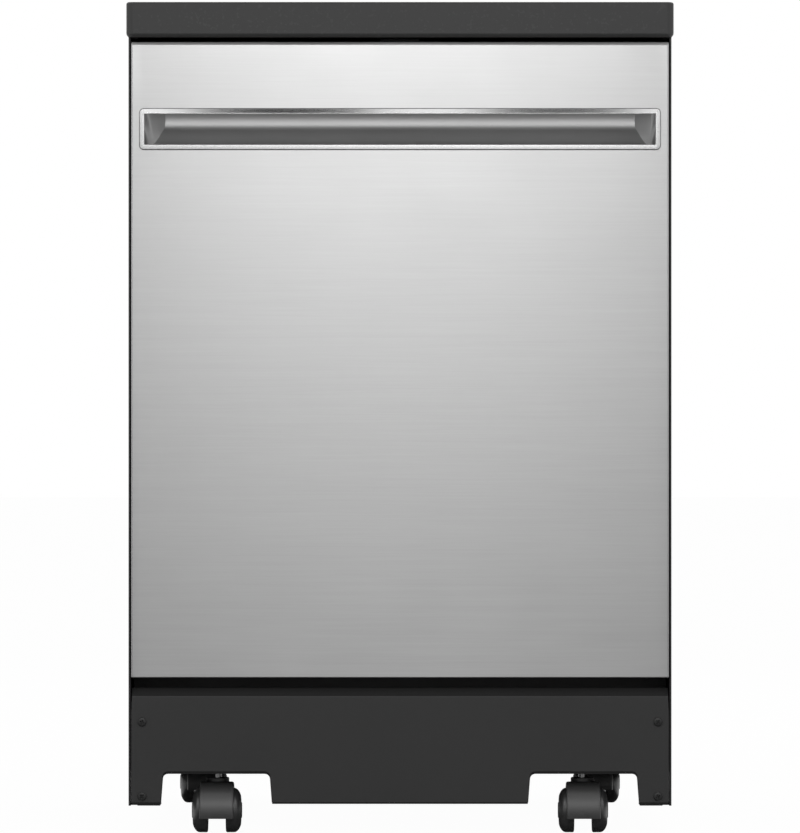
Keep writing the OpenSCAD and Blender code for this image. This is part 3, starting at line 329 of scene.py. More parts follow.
# an outline of two coordinates, pushed along the third axis from start to end
def slab(bm, outline, axis, start, end):
    order = {"x": (2, 0, 1), "y": (0, 2, 1), "z": (0, 1, 2)}[axis]
    verts = [bm.verts.new([(a, b, start)[k] for k in order]) for a, b in outline]
    face = bm.faces.new(verts)
    moved = vertsOf(bmesh.ops.extrude_face_region(bm, geom=[face])["geom"])
    bmesh.ops.translate(bm, vec=axisVector(axis) * (end - start), verts=moved)
    faces = {f for v in verts + moved for f in v.link_faces}
    bmesh.ops.recalc_face_normals(bm, faces=list(faces))
    return {e for f in faces for e in f.edges}


# a profile of (radius, height) pairs, turned round an axis through centre
def turned(bm, profile, centre, axis="z", steps=40, closed=False):
    along = axisVector(axis)
    across = Vector((0, 0, 1)) if axis == "x" else Vector((1, 0, 0))
    verts = [bm.verts.new(Vector(centre) + across * r + along * h) for r, h in profile]
    edges = [bm.edges.new(pair) for pair in zip(verts, verts[1:] + verts[:1] * closed)]
    bmesh.ops.spin(bm, geom=verts + edges, cent=centre, axis=along, angle=math.tau, steps=steps,
                   use_merge=True, use_duplicate=False)


def sided(profile, sign):
    return [(r, sign * h) for r, h in profile]


def raised(profile, base):
    return [(r, base + h) for r, h in profile]


def disc(radius, start, end, edge=0.0006):  # the profile of a disc or pin with its rims cut back
    flat = radius - edge
    return [(0, start), (flat, start), (radius, start + edge), (radius, end - edge), (flat, end), (0, end)]


# equal ribs for a profile, each one given from its own start
def ribs(count, start, pitch, rib):
    return [(r, start + i * pitch + h) for i in range(count) for r, h in rib]


# equal blocks round an axis through centre, the first a share of a step on; lean moves the corners that a test picks
def spokes(bm, count, low, high, centre, axis="Z", share=0.0, lean=(0, 0, 0), picks=lambda place: True):
    for i in range(count):
        made = block(bm, low, high)
        bmesh.ops.translate(bm, vec=lean, verts=[v for v in made if picks(v.co)])
        turn = Matrix.Rotation(math.tau * (i + share) / count, 3, axis)
        bmesh.ops.rotate(bm, cent=(0, 0, 0), matrix=turn, verts=made)
        bmesh.ops.translate(bm, vec=centre, verts=made)


def arc(centre, radius, start, end, steps=6):
    angles = [math.radians(start + (end - start) * i / steps) for i in range(steps + 1)]
    return [(centre[0] + radius * math.cos(a), centre[1] + radius * math.sin(a)) for a in angles]


def roundRect(low, high, radius, steps=6):
    corners = ((high[0] - radius, high[1] - radius), (low[0] + radius, high[1] - radius),
               (low[0] + radius, low[1] + radius), (high[0] - radius, low[1] + radius))
    return [point for i, corner in enumerate(corners) for point in arc(corner, radius, i * 90, i * 90 + 90, steps)]


def grownRect(low, high, grow, radius, steps=6):
    return roundRect((low[0] - grow, low[1] - grow), (high[0] + grow, high[1] + grow), radius, steps)


# a flat ring between two outlines in X and Z, its front at y, pushed back by depth
def ringPlate(bm, outer, inner, y, depth):
    loops = [e for points in (outer, inner) for e in closedLoop(bm, [bm.verts.new((x, y, z)) for x, z in points])]
    ring = bmesh.ops.triangle_fill(bm, edges=loops, use_beauty=True, normal=(0, -1, 0))["geom"]
    ring = [f for f in ring if isinstance(f, bmesh.types.BMFace)]
    pushed = bmesh.ops.extrude_face_region(bm, geom=ring)["geom"]
    bmesh.ops.translate(bm, vec=(0, depth, 0), verts=vertsOf(pushed))
    bmesh.ops.recalc_face_normals(bm, faces=bm.faces)
    return [e for e in sharpEdges(bm) if all(abs(v.co.y - y) < 1e-5 for v in e.verts)]


def meshFrom(bm, name):
    mesh = bpy.data.meshes.new(name)
    bm.to_mesh(mesh)
    bm.free()
    return mesh


def placed(name, data):
    made = bpy.data.objects.new(name, data)
    bpy.context.scene.collection.objects.link(made)
    return made


def keep(mesh, name, body, finish, stands=(), crease=34):
    mesh.shade_smooth()
    mesh.set_sharp_from_angle(angle=math.radians(crease))
    mesh.materials.append(finishes[finish])
    made = placed(name, mesh)
    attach(made, body)
    if stands:
        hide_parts(*stands)
    return made


# a sheet's wall goes inwards from the modelled face; wide flat faces keep their own normals
def piece(bm, name, body, finish, stands=(), crease=34, outward=True, sheet=0.0, flat=True):
    bmesh.ops.remove_doubles(bm, verts=bm.verts, dist=0.000002)
    if outward:
        bmesh.ops.recalc_face_normals(bm, faces=bm.faces)
    made = keep(meshFrom(bm, name), name, body, finish, stands, crease)
    if sheet:
        solid = made.modifiers.new("wall", "SOLIDIFY")
        solid.thickness, solid.offset, solid.use_even_offset = sheet, -1.0, True
    if flat:
        made.modifiers.new("flat faces", "WEIGHTED_NORMAL").keep_sharp = True
    return made


top = Sizes(corner=0.008, upperEdge=0.0025, lowerEdge=0.005)
bm = bmesh.new()
block(bm, *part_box("worktop"))
rounded(bm, [e for e in bm.edges if span(e, "z") > 0.01], top.corner, 6)
for side, radius, steps in ((1, top.upperEdge, 4), (-1, top.lowerEdge, 5)):
    cap = max(bm.faces, key=lambda f: f.normal.z * side * f.calc_area())
    rounded(bm, cap.edges, radius, steps)
piece(bm, "worktopSlab", "cabinet", "worktop", ["worktop"])
print("worktop shaped")


door = Sizes(topBend=0.0034, bendBack=0.0019, bendRound=0.0005, sideBend=0.0014, flatMargin=0.0004, topFold=0.009,
             lowerFold=0.014, foldTall=0.025, sheet=0.0009, openingHalf=0.2913, openingLow=0.7787, openingHigh=0.8178)
low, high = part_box("door_skin")
faceY = low.y
bm = bmesh.new()
block(bm, low, high)
openSide(bm, 1)
front = next(f for f in bm.faces if f.normal.y < -0.9)
rounded(bm, [e for e in front.edges if all(v.co.z > high.z - 0.001 for v in e.verts)], door.topBend, 1)
bendTop = [v for v in bm.verts if v.co.z > high.z - 0.0001 and v.co.y < low.y + door.topBend + 0.0001]
bmesh.ops.translate(bm, vec=(0, door.bendBack - door.topBend, 0), verts=bendTop)
bendEdges = [e for e in sharpEdges(bm, 25) if span(e, "x") > 0.1 and e.verts[0].co.z > high.z - 0.01]
rounded(bm, [e for e in bendEdges if e.verts[0].co.y < high.y - 0.001], door.bendRound, 2)
rounded(bm, sharpEdges(bm, 70), door.sideBend, 3)
foldStart, foldEnd = Vector((0, low.y + door.lowerFold, low.z)), Vector((0, high.y, low.z + door.foldTall))
slope = (foldEnd - foldStart).normalized()
bmesh.ops.bisect_plane(bm, geom=bm.verts[:] + bm.edges[:] + bm.faces[:], plane_co=foldStart,
                       plane_no=(0, -slope.z, slope.y), clear_inner=True)
foldY = low.y + door.topFold
topFaces = [f for f in bm.faces if f.normal.z > 0.9]
geom = topFaces + list({e for f in topFaces for e in f.edges} | {v for f in topFaces for v in f.verts})
bmesh.ops.bisect_plane(bm, geom=geom, plane_co=(0, foldY, 0), plane_no=(0, 1, 0))
behindFold = [f for f in bm.faces if f.normal.z > 0.9 and f.calc_center_median().y > foldY]
bmesh.ops.delete(bm, geom=behindFold, context="FACES_ONLY")
openingX, flatX = door.openingHalf, high.x - door.sideBend - door.flatMargin
openingZ = (door.openingLow, door.openingHigh)
cutAt(bm, (("x", (-openingX, openingX, -flatX, flatX)), ("z", openingZ)), lambda f: f.normal.y < -0.999)
hole = [f for f in bm.faces if f.normal.y < -0.999 and inField(f, (-openingX, openingZ[0]), (openingX, openingZ[1]))]
bmesh.ops.delete(bm, geom=hole, context="FACES")
piece(bm, "doorFront", "door", "doorSteel", ["door_skin"], outward=False, sheet=door.sheet)
print("door front shaped")


# the seal entry is the width of a dark strip round the frame that paints the shadow gap between frame and door
bezel = Sizes(corner=0.005, half=0.295, low=0.775, high=0.8215, proud=0.0016, edge=0.0006, mouthHalf=0.2893,
              mouthLow=0.7807, mouthCorner=0.0004, seal=0.0005, sealProud=0.0004, gripLow=0.8158, gripDeep=0.006,
              gripThick=0.0016, gripBack=0.0002, barProud=0.0036, barTilt=0.0018, barRound=0.0003, barDrop=0.0004)
bezelLow, bezelHigh = (-bezel.half, bezel.low), (bezel.half, bezel.high)
mouth = roundRect((-bezel.mouthHalf, bezel.mouthLow), (bezel.mouthHalf, bezel.gripLow), bezel.mouthCorner, 1)
bm = bmesh.new()
outline = roundRect(bezelLow, bezelHigh, bezel.corner)
rounded(bm, ringPlate(bm, outline, mouth, faceY - bezel.proud, bezel.proud), bezel.edge, 3)
piece(bm, "handleFrame", "door", "frameSteel", ["handle_bezel"])
# painted shadow: a thin dark rubber strip just outside the frame stands in for the shadow gap between frame and door
bm = bmesh.new()
outline = grownRect(bezelLow, bezelHigh, bezel.seal, bezel.corner + bezel.seal)
ringPlate(bm, outline, mouth, faceY - bezel.sealProud, 0.0005)
piece(bm, "handleFramePaintedShadow", "door", "rubber", flat=False)
bm = bmesh.new()
crown, barTop, barLow, tilt = bezel.barRound, bezel.high - bezel.barDrop, bezel.gripLow, bezel.barTilt
shelf, gripBack = barLow + bezel.gripThick, faceY + bezel.gripBack
nose = faceY - bezel.barProud + crown
outline = [(faceY + bezel.gripDeep, barLow), (faceY + bezel.gripDeep, shelf), (gripBack, shelf), (gripBack, barTop)]
outline += arc((nose + tilt, barTop - crown), crown, 90, 160, 4) + arc((nose, barLow + crown), crown, 160, 270, 5)
slab(bm, outline, "x", bezel.corner - bezel.half, bezel.half - bezel.corner)
piece(bm, "handleGripBar", "door", "barSteel", ["handle_bezel"])

# the drawn pan behind the mouth; its ends lean in with depth
pocket = Sizes(lean=0.8, sheet=0.0008, backTall=0.03)
bm = bmesh.new()
hollow = [(0.0003, 0.0), (0.0085, 0.0), (0.0112, 0.0006), (0.0142, 0.0027), (0.0174, 0.0062), (0.0206, 0.0101),
          (0.023, 0.0139), (0.0252, 0.0168), (0.0266, 0.0192), (0.0276, 0.0219), (0.0281, 0.0247), (0.0283, 0.0275),
          (0.0283, 0.0305), (0.0281, 0.0335), (0.0277, 0.037), (0.0269, 0.0415), (0.0258, 0.047)]
hollow += raised([(0.0244, 0.0139), (0.021, 0.0142), (0.0105, 0.0142), (0.0075, 0.013), (0.0066, 0.01),
                  (0.0064, 0.002), (0.0062, -0.0002), (0.0003, -0.0002)], bezel.gripLow - bezel.mouthLow)
sides = []
for sign in (-1, 1):
    row = [bm.verts.new((sign * (bezel.mouthHalf - pocket.lean * depth), faceY + depth, bezel.mouthLow + height))
           for depth, height in hollow]
    sides += [bm.edges.new(pair) for pair in zip(row, row[1:])]
    bm.faces.new(row)
bmesh.ops.bridge_loops(bm, edges=sides)
bmesh.ops.recalc_face_normals(bm, faces=bm.faces)
backZ = bezel.mouthLow + pocket.backTall
back = min(bm.faces, key=lambda f: abs(f.calc_center_median().z - backZ) + (abs(f.normal.x) > 0.1))
if back.normal.y > 0:
    bmesh.ops.reverse_faces(bm, faces=bm.faces)
pan = piece(bm, "handlePocketPan", "door", "pocketSteel", ["handle_pocket"], crease=38, outward=False,
            sheet=pocket.sheet)
pan.modifiers["wall"].use_even_offset = False
print("handle shaped")


kick = Sizes(half=0.304, bottom=0.034, sheetLow=0.0355, fold=0.1558, top=0.1653, sheet=0.0015, hem=0.009,
             lining=0.0026, lipBack=0.008, lipEnd=0.004, lipIn=0.0004, notchHalf=0.063, notchTaper=0.002,
             notchTop=0.0706, notchRound=0.006, notchAt=0.208, edge=0.0005, bend=0.0012)
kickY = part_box("kick_plate")[0].y
kickBack, foldLow, seam = kickY + kick.sheet, kick.fold - 0.0006, kick.fold - 0.006


# the notch outline round x = side * notchAt, from its left foot to its right foot, smaller by inset
def notchSide(side, inset=0.0):
    middle, foot = side * kick.notchAt, kick.notchHalf - inset * 0.1
    head, r, crest = foot - kick.notchTaper, kick.notchRound, kick.notchTop - inset
    left = arc((middle - head + r, crest - r), r, 180, 90, 5)
    right = arc((middle + head - r, crest - r), r, 90, 0, 5)
    return [(middle - foot, kick.sheetLow)] + left + right + [(middle + foot, kick.sheetLow)]


def kickPiece(name, finish):
    piece(bm, name, "cabinet", finish, ["kick_plate"], crease=30)


bm = bmesh.new()
outline = [(-kick.half, kick.sheetLow)] + notchSide(-1) + notchSide(1) + [
    (kick.half, kick.sheetLow), (kick.half, seam), (-kick.half, seam)]
edges = slab(bm, outline, "y", kickY, kickBack)
frontEdges = [e for e in edges if all(abs(v.co.y - kickY) < 1e-6 and v.co.z < seam - 0.001 for v in e.verts)]
rounded(bm, frontEdges, kick.edge, 2)
kickPiece("kickPlateSheet", "kickSheet")
bend, back, lipTop, lipHalf = kick.bend, kickY + kick.lipBack, kick.top, kick.half - kick.lipIn
lipLow, lipBack = lipTop - kick.sheet, back + kick.lipEnd
slope = math.degrees(math.atan2(lipTop - kick.fold, kick.lipBack))
foldArc = arc((kickY + bend, kick.fold - bend * 0.45), bend, 180, 90 + slope, 4)
bm = bmesh.new()
profile = [foldArc[-1], (back - 0.0006, lipTop - 0.0005), (back, lipTop), (lipBack, lipTop), (lipBack, lipLow),
           (back + 0.0005, lipLow), (kickBack, foldLow)]
slab(bm, profile, "x", -lipHalf, lipHalf)
# the lip takes the darker painted-shade coating, for the door's shadow over it
kickPiece("kickPlateLip", "kickLip")
bm = bmesh.new()
slab(bm, [(kickY, seam)] + foldArc + [(kickBack, foldLow), (kickBack, seam)], "x", -lipHalf, lipHalf)
kickPiece("kickPlateFold", "kickSheet")
bm = bmesh.new()
notchEnds = [side * kick.notchAt + way * kick.notchHalf for side in (-1, 1) for way in (-1, 1)]
feet, hemBack = [-kick.half] + notchEnds + [kick.half], kickY + kick.hem
for start, end in zip(feet[::2], feet[1::2]):
    hemLow, hemHigh = (start + 0.0002, kickY + 0.0006, kick.bottom), (end - 0.0002, hemBack, kick.sheetLow + 0.001)
    softBlock(bm, hemLow, hemHigh, 0.00012, 1)
for notch in (-1, 1):
    slab(bm, notchSide(notch, -0.0015) + notchSide(notch, kick.lining)[::-1], "y", kickBack, hemBack)
# the hem and notch linings take the darker painted-shade coating, for the shade under the plate's edges
kickPiece("kickPlateHem", "kickLip")


# a pan head with a cross recess, its seat at the origin and its top towards +Z, then moved to its place
def screwHead(bm, radius, height, cross, place):
    arm, half = cross, cross * 0.26
    quarter = [(half, half), (half, arm), (-half, arm)]
    plus = [[(x, z), (-z, x), (-x, -z), (z, -x)][turn] for turn in range(4) for x, z in quarter]
    rimAngles = [math.tau * i / 20 for i in range(20)]
    rim = [(math.cos(a) * radius * 0.72, math.sin(a) * radius * 0.72) for a in rimAngles]
    made, rings = [], []
    for points in (rim, plus):
        verts = [bm.verts.new((x, y, height)) for x, y in points]
        rings.append(closedLoop(bm, verts))
        made += verts
    bmesh.ops.triangle_fill(bm, edges=rings[0] + rings[1], use_beauty=True, normal=(0, 0, 1))
    ring = rings[0]
    for grow, drop in ((0.9, 0.12), (1.0, 0.45), (1.0, 1.0)):
        pushed = bmesh.ops.extrude_edge_only(bm, edges=ring)["geom"]
        for v in vertsOf(pushed):
            flat = Vector((v.co.x, v.co.y, 0)).normalized() * radius * grow
            v.co = (flat.x, flat.y, height * (1 - drop))
        ring = edgesOf(pushed)
        made += vertsOf(pushed)
    pushed = bmesh.ops.extrude_edge_only(bm, edges=rings[1])["geom"]
    verts = vertsOf(pushed)
    bmesh.ops.translate(bm, vec=(0, 0, -height * 0.8), verts=verts)
    bmesh.ops.scale(bm, vec=(0.7, 0.7, 1), verts=verts)
    bmesh.ops.contextual_create(bm, geom=edgesOf(pushed))
    bmesh.ops.transform(bm, matrix=place, verts=made + verts)


# heads of one size on a wall that faces the front (1) or the back (-1), each with its own turn
def screwHeads(bm, size, facing, places, turn=lambda x, z: 0.0):
    for x, y, z in places:
        stand = Matrix.Rotation(facing * math.pi / 2, 4, "X") @ Matrix.Rotation(turn(x, z), 4, "Z")
        screwHead(bm, *size, Matrix.Translation((x, y, z)) @ stand)


screws = Sizes(x=0.2922, rows=(0.0425, 0.1268), size=(0.005, 0.0022, 0.0024), shank=0.002, long=0.008)
bm = bmesh.new()
places = [(x, kickY, z) for x in (-screws.x, screws.x) for z in screws.rows]
screwHeads(bm, screws.size, 1, places, lambda x, z: math.radians(22 + 900 * x + 300 * z))
for place in places:
    turned(bm, [(0, screws.long), (screws.shank, screws.long), (screws.shank, 0)], place, "y", 14)
piece(bm, "kickPlateScrews", "cabinet", "blackScrew", ["panel_screws"], flat=False)
print("kick plate shaped")


caster = Sizes(wheel=0.0254, gap=0.0206, width=0.057, trail=0.02, hoodHalf=0.0193, hoodRadius=0.0324,
               hoodRound=0.0022, fender=0.0044, rear=20, front=194.7, webGap=0.0013, axle=0.004, neck=0.01335,
               neckTall=0.0039, stem=0.00475, stemTop=0.1075)
tyre = [(0.0152, 0.0), (0.0239, 0.0), (0.0249, 0.0005), (0.0254, 0.0015), (0.0254, 0.005), (0.0252, 0.0052),
        (0.0252, 0.0058), (0.0254, 0.006)]
tyre += [(0.01 + 0.0154 * math.sin(a), 0.0087 + 0.0091 * math.cos(a)) for a in map(math.radians, range(84, 20, -6))]
tyre += [(0.0156, 0.0166), (0.0152, 0.016)]
hub = [(0.0044, 0.0), (0.0151, 0.0), (0.0151, 0.0158), (0.0149, 0.0166), (0.0141, 0.0172), (0.0134, 0.0171),
       (0.0129, 0.016), (0.0105, 0.0155), (0.0097, 0.0158), (0.0091, 0.0175), (0.0084, 0.0181), (0.006, 0.0182),
       (0.0048, 0.0178), (0.0044, 0.017)]
wheelParts = (("Tyre", tyre, "tread", "caster_tread"), ("Hub", hub, "casterPlastic", "caster_plastic"))
stations = {"front_left": (-0.208, -0.288), "front_right": (0.208, -0.288),
            "rear_left": (-0.2405, 0.273), "rear_right": (0.2405, 0.273)}
for corner, (stemX, stemY) in stations.items():
    axleY, axleZ, swivel = stemY - caster.trail, caster.wheel, corner + "_swivel"
    bm = bmesh.new()
    outer, inner, rearEnd, frontEnd = caster.hoodRadius, caster.hoodRadius - caster.fender, caster.rear, caster.front
    ring = arc((axleY, axleZ), outer, rearEnd, frontEnd, 40) + arc((axleY, axleZ), inner, frontEnd, rearEnd, 40)
    edges = slab(bm, ring, "x", stemX - caster.hoodHalf, stemX + caster.hoodHalf)
    outside = outer - 0.0001
    far = [e for e in edges if all(math.hypot(v.co.y - axleY, v.co.z - axleZ) > outside for v in e.verts)]
    rounded(bm, [e for e in far if span(e, "x") < 1e-6], caster.hoodRound, 4)
    web = caster.gap / 2 - caster.webGap
    ring = arc((axleY, axleZ), outer - 0.001, rearEnd, frontEnd - 6, 24) + arc((axleY, axleZ), 0.008, 190, 370, 10)
    edges = slab(bm, ring, "x", stemX - web, stemX + web)
    rounded(bm, [e for e in edges if span(e, "x") < 1e-6], 0.0006, 2)
    n, s, tall = caster.neck, caster.stem, caster.neckTall
    neck = [(s + 0.0002, -0.005), (n + 0.0012, -0.005), (n + 0.0004, -0.002), (n, 0.0), (n, tall - 0.0008),
            (n - 0.0008, tall), (s + 0.003, tall), (s + 0.0022, tall - 0.0006), (s + 0.0002, tall - 0.0006)]
    turned(bm, raised(neck, axleZ + outer), (stemX, stemY, 0), "z", 40, True)
    piece(bm, corner + "Hood", swivel, "casterPlastic", [corner + "_hood"], crease=32)
    bm = bmesh.new()
    stem = [(0, 0.0394), (s - 0.0004, 0.0394), (s, 0.0398), (s, 0.07), (s - 0.0006, 0.0706), (s - 0.0006, 0.0722)]
    stem += raised([(s, -0.0347), (s, -0.008), (s - 0.0012, -0.0072), (s - 0.0012, -0.0052), (s - 0.0002, -0.0044),
                    (s - 0.0016, 0.0), (0, 0.0)], caster.stemTop)
    turned(bm, stem, (stemX, stemY, 0), "z", 28)
    half, axle = caster.width / 2 - 0.004, caster.axle
    turned(bm, disc(axle, -half, half), (stemX, axleY, axleZ), "x", 24)
    piece(bm, corner + "Stem", swivel, "casterSteel", [corner + "_pins"], flat=False)
    for letter, side in (("a", -1), ("b", 1)):
        for part, profile, finish, slot in wheelParts:
            bm = bmesh.new()
            turned(bm, sided(raised(profile, caster.gap / 2), side), (stemX, axleY, axleZ), "x", 56, True)
            roller, wheel = corner + "_roller_" + letter, corner + "_wheel_" + letter
            piece(bm, corner + part + letter.upper(), roller, finish, [wheel])
print("casters shaped")


side = Sizes(half=0.3075, front=-0.337, back=0.3318, low=0.032, high=0.902, sheet=0.0012, hem=0.0024, hemDeep=0.012,
             hemRound=0.0012, flange=0.01, bend=0.0018, flangeFront=0.014, footIn=0.2715, footFront=0.001,
             footDeep=0.036, footThick=0.0018)
outerX, innerX, t, r, hemR = side.half, side.half - side.flange, side.sheet, side.bend, side.hemRound
front, back, hemX, sheetX = side.front, side.back, side.half - side.hem, side.half - side.sheet
profile = [(hemX, front + side.hemDeep)] + arc((hemX + hemR, front + hemR), hemR, 180, 270, 4)
profile += arc((outerX - hemR, front + hemR), hemR, -90, 0, 4) + arc((outerX - r, back - r), r, 0, 90, 5)
profile += [(innerX, back), (innerX, back - t), (sheetX, back - t), (sheetX, front + side.hemDeep)]
for name, sign in (("Left", -1), ("Right", 1)):
    bm = bmesh.new()
    slab(bm, [(sign * x, y) for x, y in profile], "z", side.low, side.high)
    for z in (side.high - t, side.low):
        sideBlock(bm, sign, (innerX, front + side.flangeFront, z), (sheetX, back - t, z + t), 0.0004, 1)
    sideBlock(bm, sign, (side.footIn, front + side.footFront, side.low),
              (innerX, front + side.footDeep, side.low + side.footThick), 0.0004, 1)
    piece(bm, "sideSheet" + name, "cabinet", "blackSheet", ["side_panel_" + name.lower()], crease=40)
print("side sheets shaped")


# the field between two corners of a flat face, sunk by depth with a sloping border
def sunkField(bm, low, high, border, depth):
    cutAt(bm, (("x", (low[0], high[0])), ("z", (low[1], high[1]))))
    sink(bm, [f for f in bm.faces if inField(f, low, high)], border, depth)


def sink(bm, faces, border, depth):
    bmesh.ops.inset_region(bm, faces=faces, thickness=border, depth=depth, use_boundary=True, use_even_offset=True)


rear = Sizes(half=0.3065, low=0.034, high=0.9015, sheet=0.0012, bayHalf=0.1535, bayLow=0.5565, bayHigh=0.7635,
             fieldHalf=0.252, fields=((0.205, 0.52), (0.8, 0.87)), sunk=-0.0022, border=0.005, screwX=0.298,
             screwRows=(0.06, 0.27, 0.48, 0.69, 0.88), screwTop=0.886, screwSize=(0.0045, 0.002, 0.0022))
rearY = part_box("rear_panel")[1].y
bm = bmesh.new()
corners = ((-rear.half, rear.low), (-rear.half, rear.high), (rear.half, rear.high), (rear.half, rear.low))
bm.faces.new([bm.verts.new((x, rearY, z)) for x, z in corners])
for fieldLow, fieldHigh in rear.fields:
    sunkField(bm, (-rear.fieldHalf, fieldLow), (rear.fieldHalf, fieldHigh), rear.border, rear.sunk)
bayLow, bayHigh = (-rear.bayHalf, rear.bayLow), (rear.bayHalf, rear.bayHigh)
cutAt(bm, (("x", (bayLow[0], bayHigh[0])), ("z", (bayLow[1], bayHigh[1]))))
bmesh.ops.delete(bm, geom=[f for f in bm.faces if inField(f, bayLow, bayHigh)], context="FACES")
if max(bm.faces, key=lambda f: f.calc_area()).normal.y < 0:
    bmesh.ops.reverse_faces(bm, faces=bm.faces)
piece(bm, "rearSheet", "cabinet", "blackSheet", ["rear_panel"], crease=25, outward=False,
      sheet=rear.sheet)
louvre = Sizes(rows=3, columns=7, half=0.023, tall=0.009, low=0.096, pitchX=0.062, pitchZ=0.022, inside=0.0004,
               proud=0.0032, slope=(0, -0.0028, 0.001), round=0.0009)
bm = bmesh.new()
for row in range(louvre.rows):
    for column in range(louvre.columns):
        x, z = (column - louvre.columns // 2) * louvre.pitchX, louvre.low + row * louvre.pitchZ
        made = block(bm, (x - louvre.half, rearY - louvre.inside, z),
                     (x + louvre.half, rearY + louvre.proud, z + louvre.tall))
        crown = [v for v in made if v.co.y > rearY and v.co.z > z + louvre.tall / 2]
        bmesh.ops.translate(bm, vec=louvre.slope, verts=crown)
        outside = {e for v in made for e in v.link_edges if all(w.co.y > rearY for w in e.verts)}
        rounded(bm, outside, louvre.round, 2)
piece(bm, "rearLouvres", "cabinet", "blackSheet")
bm = bmesh.new()
screwHeads(bm, rear.screwSize, -1, [(x, rearY, z) for x in (-rear.screwX, rear.screwX) for z in rear.screwRows])
screwHeads(bm, rear.screwSize, -1, [(x, rearY, rear.screwTop) for x in (-0.2, 0.0, 0.2)])
piece(bm, "rearSheetScrews", "cabinet", "zinc", flat=False)

bay = Sizes(half=0.15, low=0.56, high=0.76, deep=0.072, sheet=0.002, lip=0.008, corner=0.012, back=0.333, edge=0.0015,
            floorRound=0.004, lipThick=0.002, lipRound=0.0007)
bm = bmesh.new()
block(bm, (-bay.half, bay.back - bay.deep, bay.low), (bay.half, bay.back + bay.edge, bay.high))
openSide(bm, 1)
rounded(bm, [e for e in bm.edges if not e.is_boundary and span(e, "y") > 0.01], bay.corner, 5)
floorEdges = [e for e in sharpEdges(bm, 40) if all(v.co.y < bay.back - 0.05 for v in e.verts)]
rounded(bm, floorEdges, bay.floorRound, 3)
tray = piece(bm, "hoseTray", "cabinet", "darkPlastic", ["hose_bay"], outward=False, sheet=bay.sheet)
tray.modifiers["wall"].offset = 1.0
bm = bmesh.new()
bayLow, bayHigh = (-bay.half, bay.low), (bay.half, bay.high)
outer, inner = grownRect(bayLow, bayHigh, bay.lip, bay.corner + bay.lip * 0.7), roundRect(bayLow, bayHigh, bay.corner)
rounded(bm, ringPlate(bm, outer, inner, bay.back + bay.lipThick, -bay.lipThick), bay.lipRound, 2)
piece(bm, "hoseTrayRim", "cabinet", "darkPlastic", ["hose_bay"])
print("rear shaped")


# corners of a path turned into short bends
def bent(points, radius, steps=4, closed=False):
    points = [Vector(p) for p in points]
    made = []
    for i, corner in enumerate(points):
        before, after = points[i - 1], points[(i + 1) % len(points)]
        if not closed and i in (0, len(points) - 1):
            made.append(corner)
            continue
        a, b = corner + (before - corner).normalized() * radius, corner + (after - corner).normalized() * radius
        made += [a.lerp(corner, t).lerp(corner.lerp(b, t), t) for t in (k / steps for k in range(steps + 1))]
    return made


# round bars along paths; a path is its points, whether it closes, and how thin its last point is
def wires(name, body, finish, stands, paths, radius, sides=2):
    curve = bpy.data.curves.new(name, "CURVE")
    curve.dimensions, curve.bevel_depth, curve.bevel_resolution, curve.use_fill_caps = "3D", radius, sides, True
    for points, closed, tip in paths:
        line = curve.splines.new("POLY")
        line.points.add(len(points) - 1)
        for place, point in zip(line.points, points):
            place.co = (*point, 1)
        line.points[-1].radius, line.use_cyclic_u = tip, closed
    carrier = bpy.data.objects.new(name, curve)
    mesh = bpy.data.meshes.new_from_object(carrier)
    bpy.data.objects.remove(carrier)
    keep(mesh, name, body, finish, stands)


# an open basket of bent wires, with rows of tines on cross bars
def rackWires(name, body, stands, rack):
    half, front, back, floor, rim = rack.half, rack.front, rack.back, rack.floor, rack.floor + rack.tall
    thick, thin = rack.thick, rack.thin
    heavy, light, posts = [], [], []

    def hoop(inset, z, radius, steps):
        loop = [(inset - half, front + inset, z), (half - inset, front + inset, z),
                (half - inset, back - inset, z), (inset - half, back - inset, z)]
        return bent(loop, radius, steps, True), True, 1.0

    for inset, z in ((2 * thick + thin, floor + thick), (thick, rim - thick)):
        heavy.append(hoop(inset, z, 0.022, 6))
    for share in (0.36, 0.68):
        light.append(hoop(thick + thin, floor + rack.tall * share, 0.02, 5))
    drop, top, lean = floor + thin + 0.0002, rim - thick, 0.0004
    low, high = Vector((thick - half, front + thick, top)), Vector((half - thick, back - thick, top))
    crossDrop = drop + 2 * thin
    for i in range(rack.across):
        x = ((i + 0.5) / rack.across * 2 - 1) * (half - 0.02)
        run = [(x, low.y, top), (x, low.y + lean, drop), (x, high.y - lean, drop), (x, high.y, top)]
        light.append((bent(run, 0.014), False, 1.0))
    for i in range(rack.along):
        y = front + 0.02 + (i + 0.5) / rack.along * (back - front - 0.04)
        run = [(low.x, y, top), (low.x + lean, y, crossDrop), (high.x - lean, y, crossDrop), (high.x, y, top)]
        light.append((bent(run, 0.014), False, 1.0))
    bar, tip = drop + 4 * thin, floor + rack.tine - 0.001
    for share in rack.rows:
        y = front + share * (back - front) + 0.002
        light.append(([(0.012 - half, y, bar), (half - 0.012, y, bar)], False, 1.0))
        for i in range(int(round((2 * half - 0.12) / rack.pitch)) + 1):
            x = 0.062 - half + i * rack.pitch
            posts.append(([(x, y, z) for z in (bar - 0.001, bar + 0.01, tip - 0.004, tip - 0.001, tip)], False, 0.45))
    for label, paths, r, sides in (("Frame", heavy, thick, 2), ("Wires", light, thin, 1), ("Tines", posts, thin, 1)):
        wires(name + label, body, "rackCoat", stands, paths, r, sides)


lowerRack = Sizes(half=0.26, front=-0.242, back=0.198, floor=0.2412, tall=0.095, thick=0.0023, thin=0.0014, across=17,
                  along=13, rows=(0.42, 0.56, 0.7, 0.84), pitch=0.04, tine=0.062)
upperRack = Sizes(lowerRack, half=0.255, floor=0.5472, tall=0.105, rows=(0.3, 0.5, 0.7), tine=0.048, across=19)
rackWires("lowerRack", "lower_rack_body", ["lower_rack"], lowerRack)
rackWires("upperRack", "upper_rack_body", ["upper_rack"], upperRack)

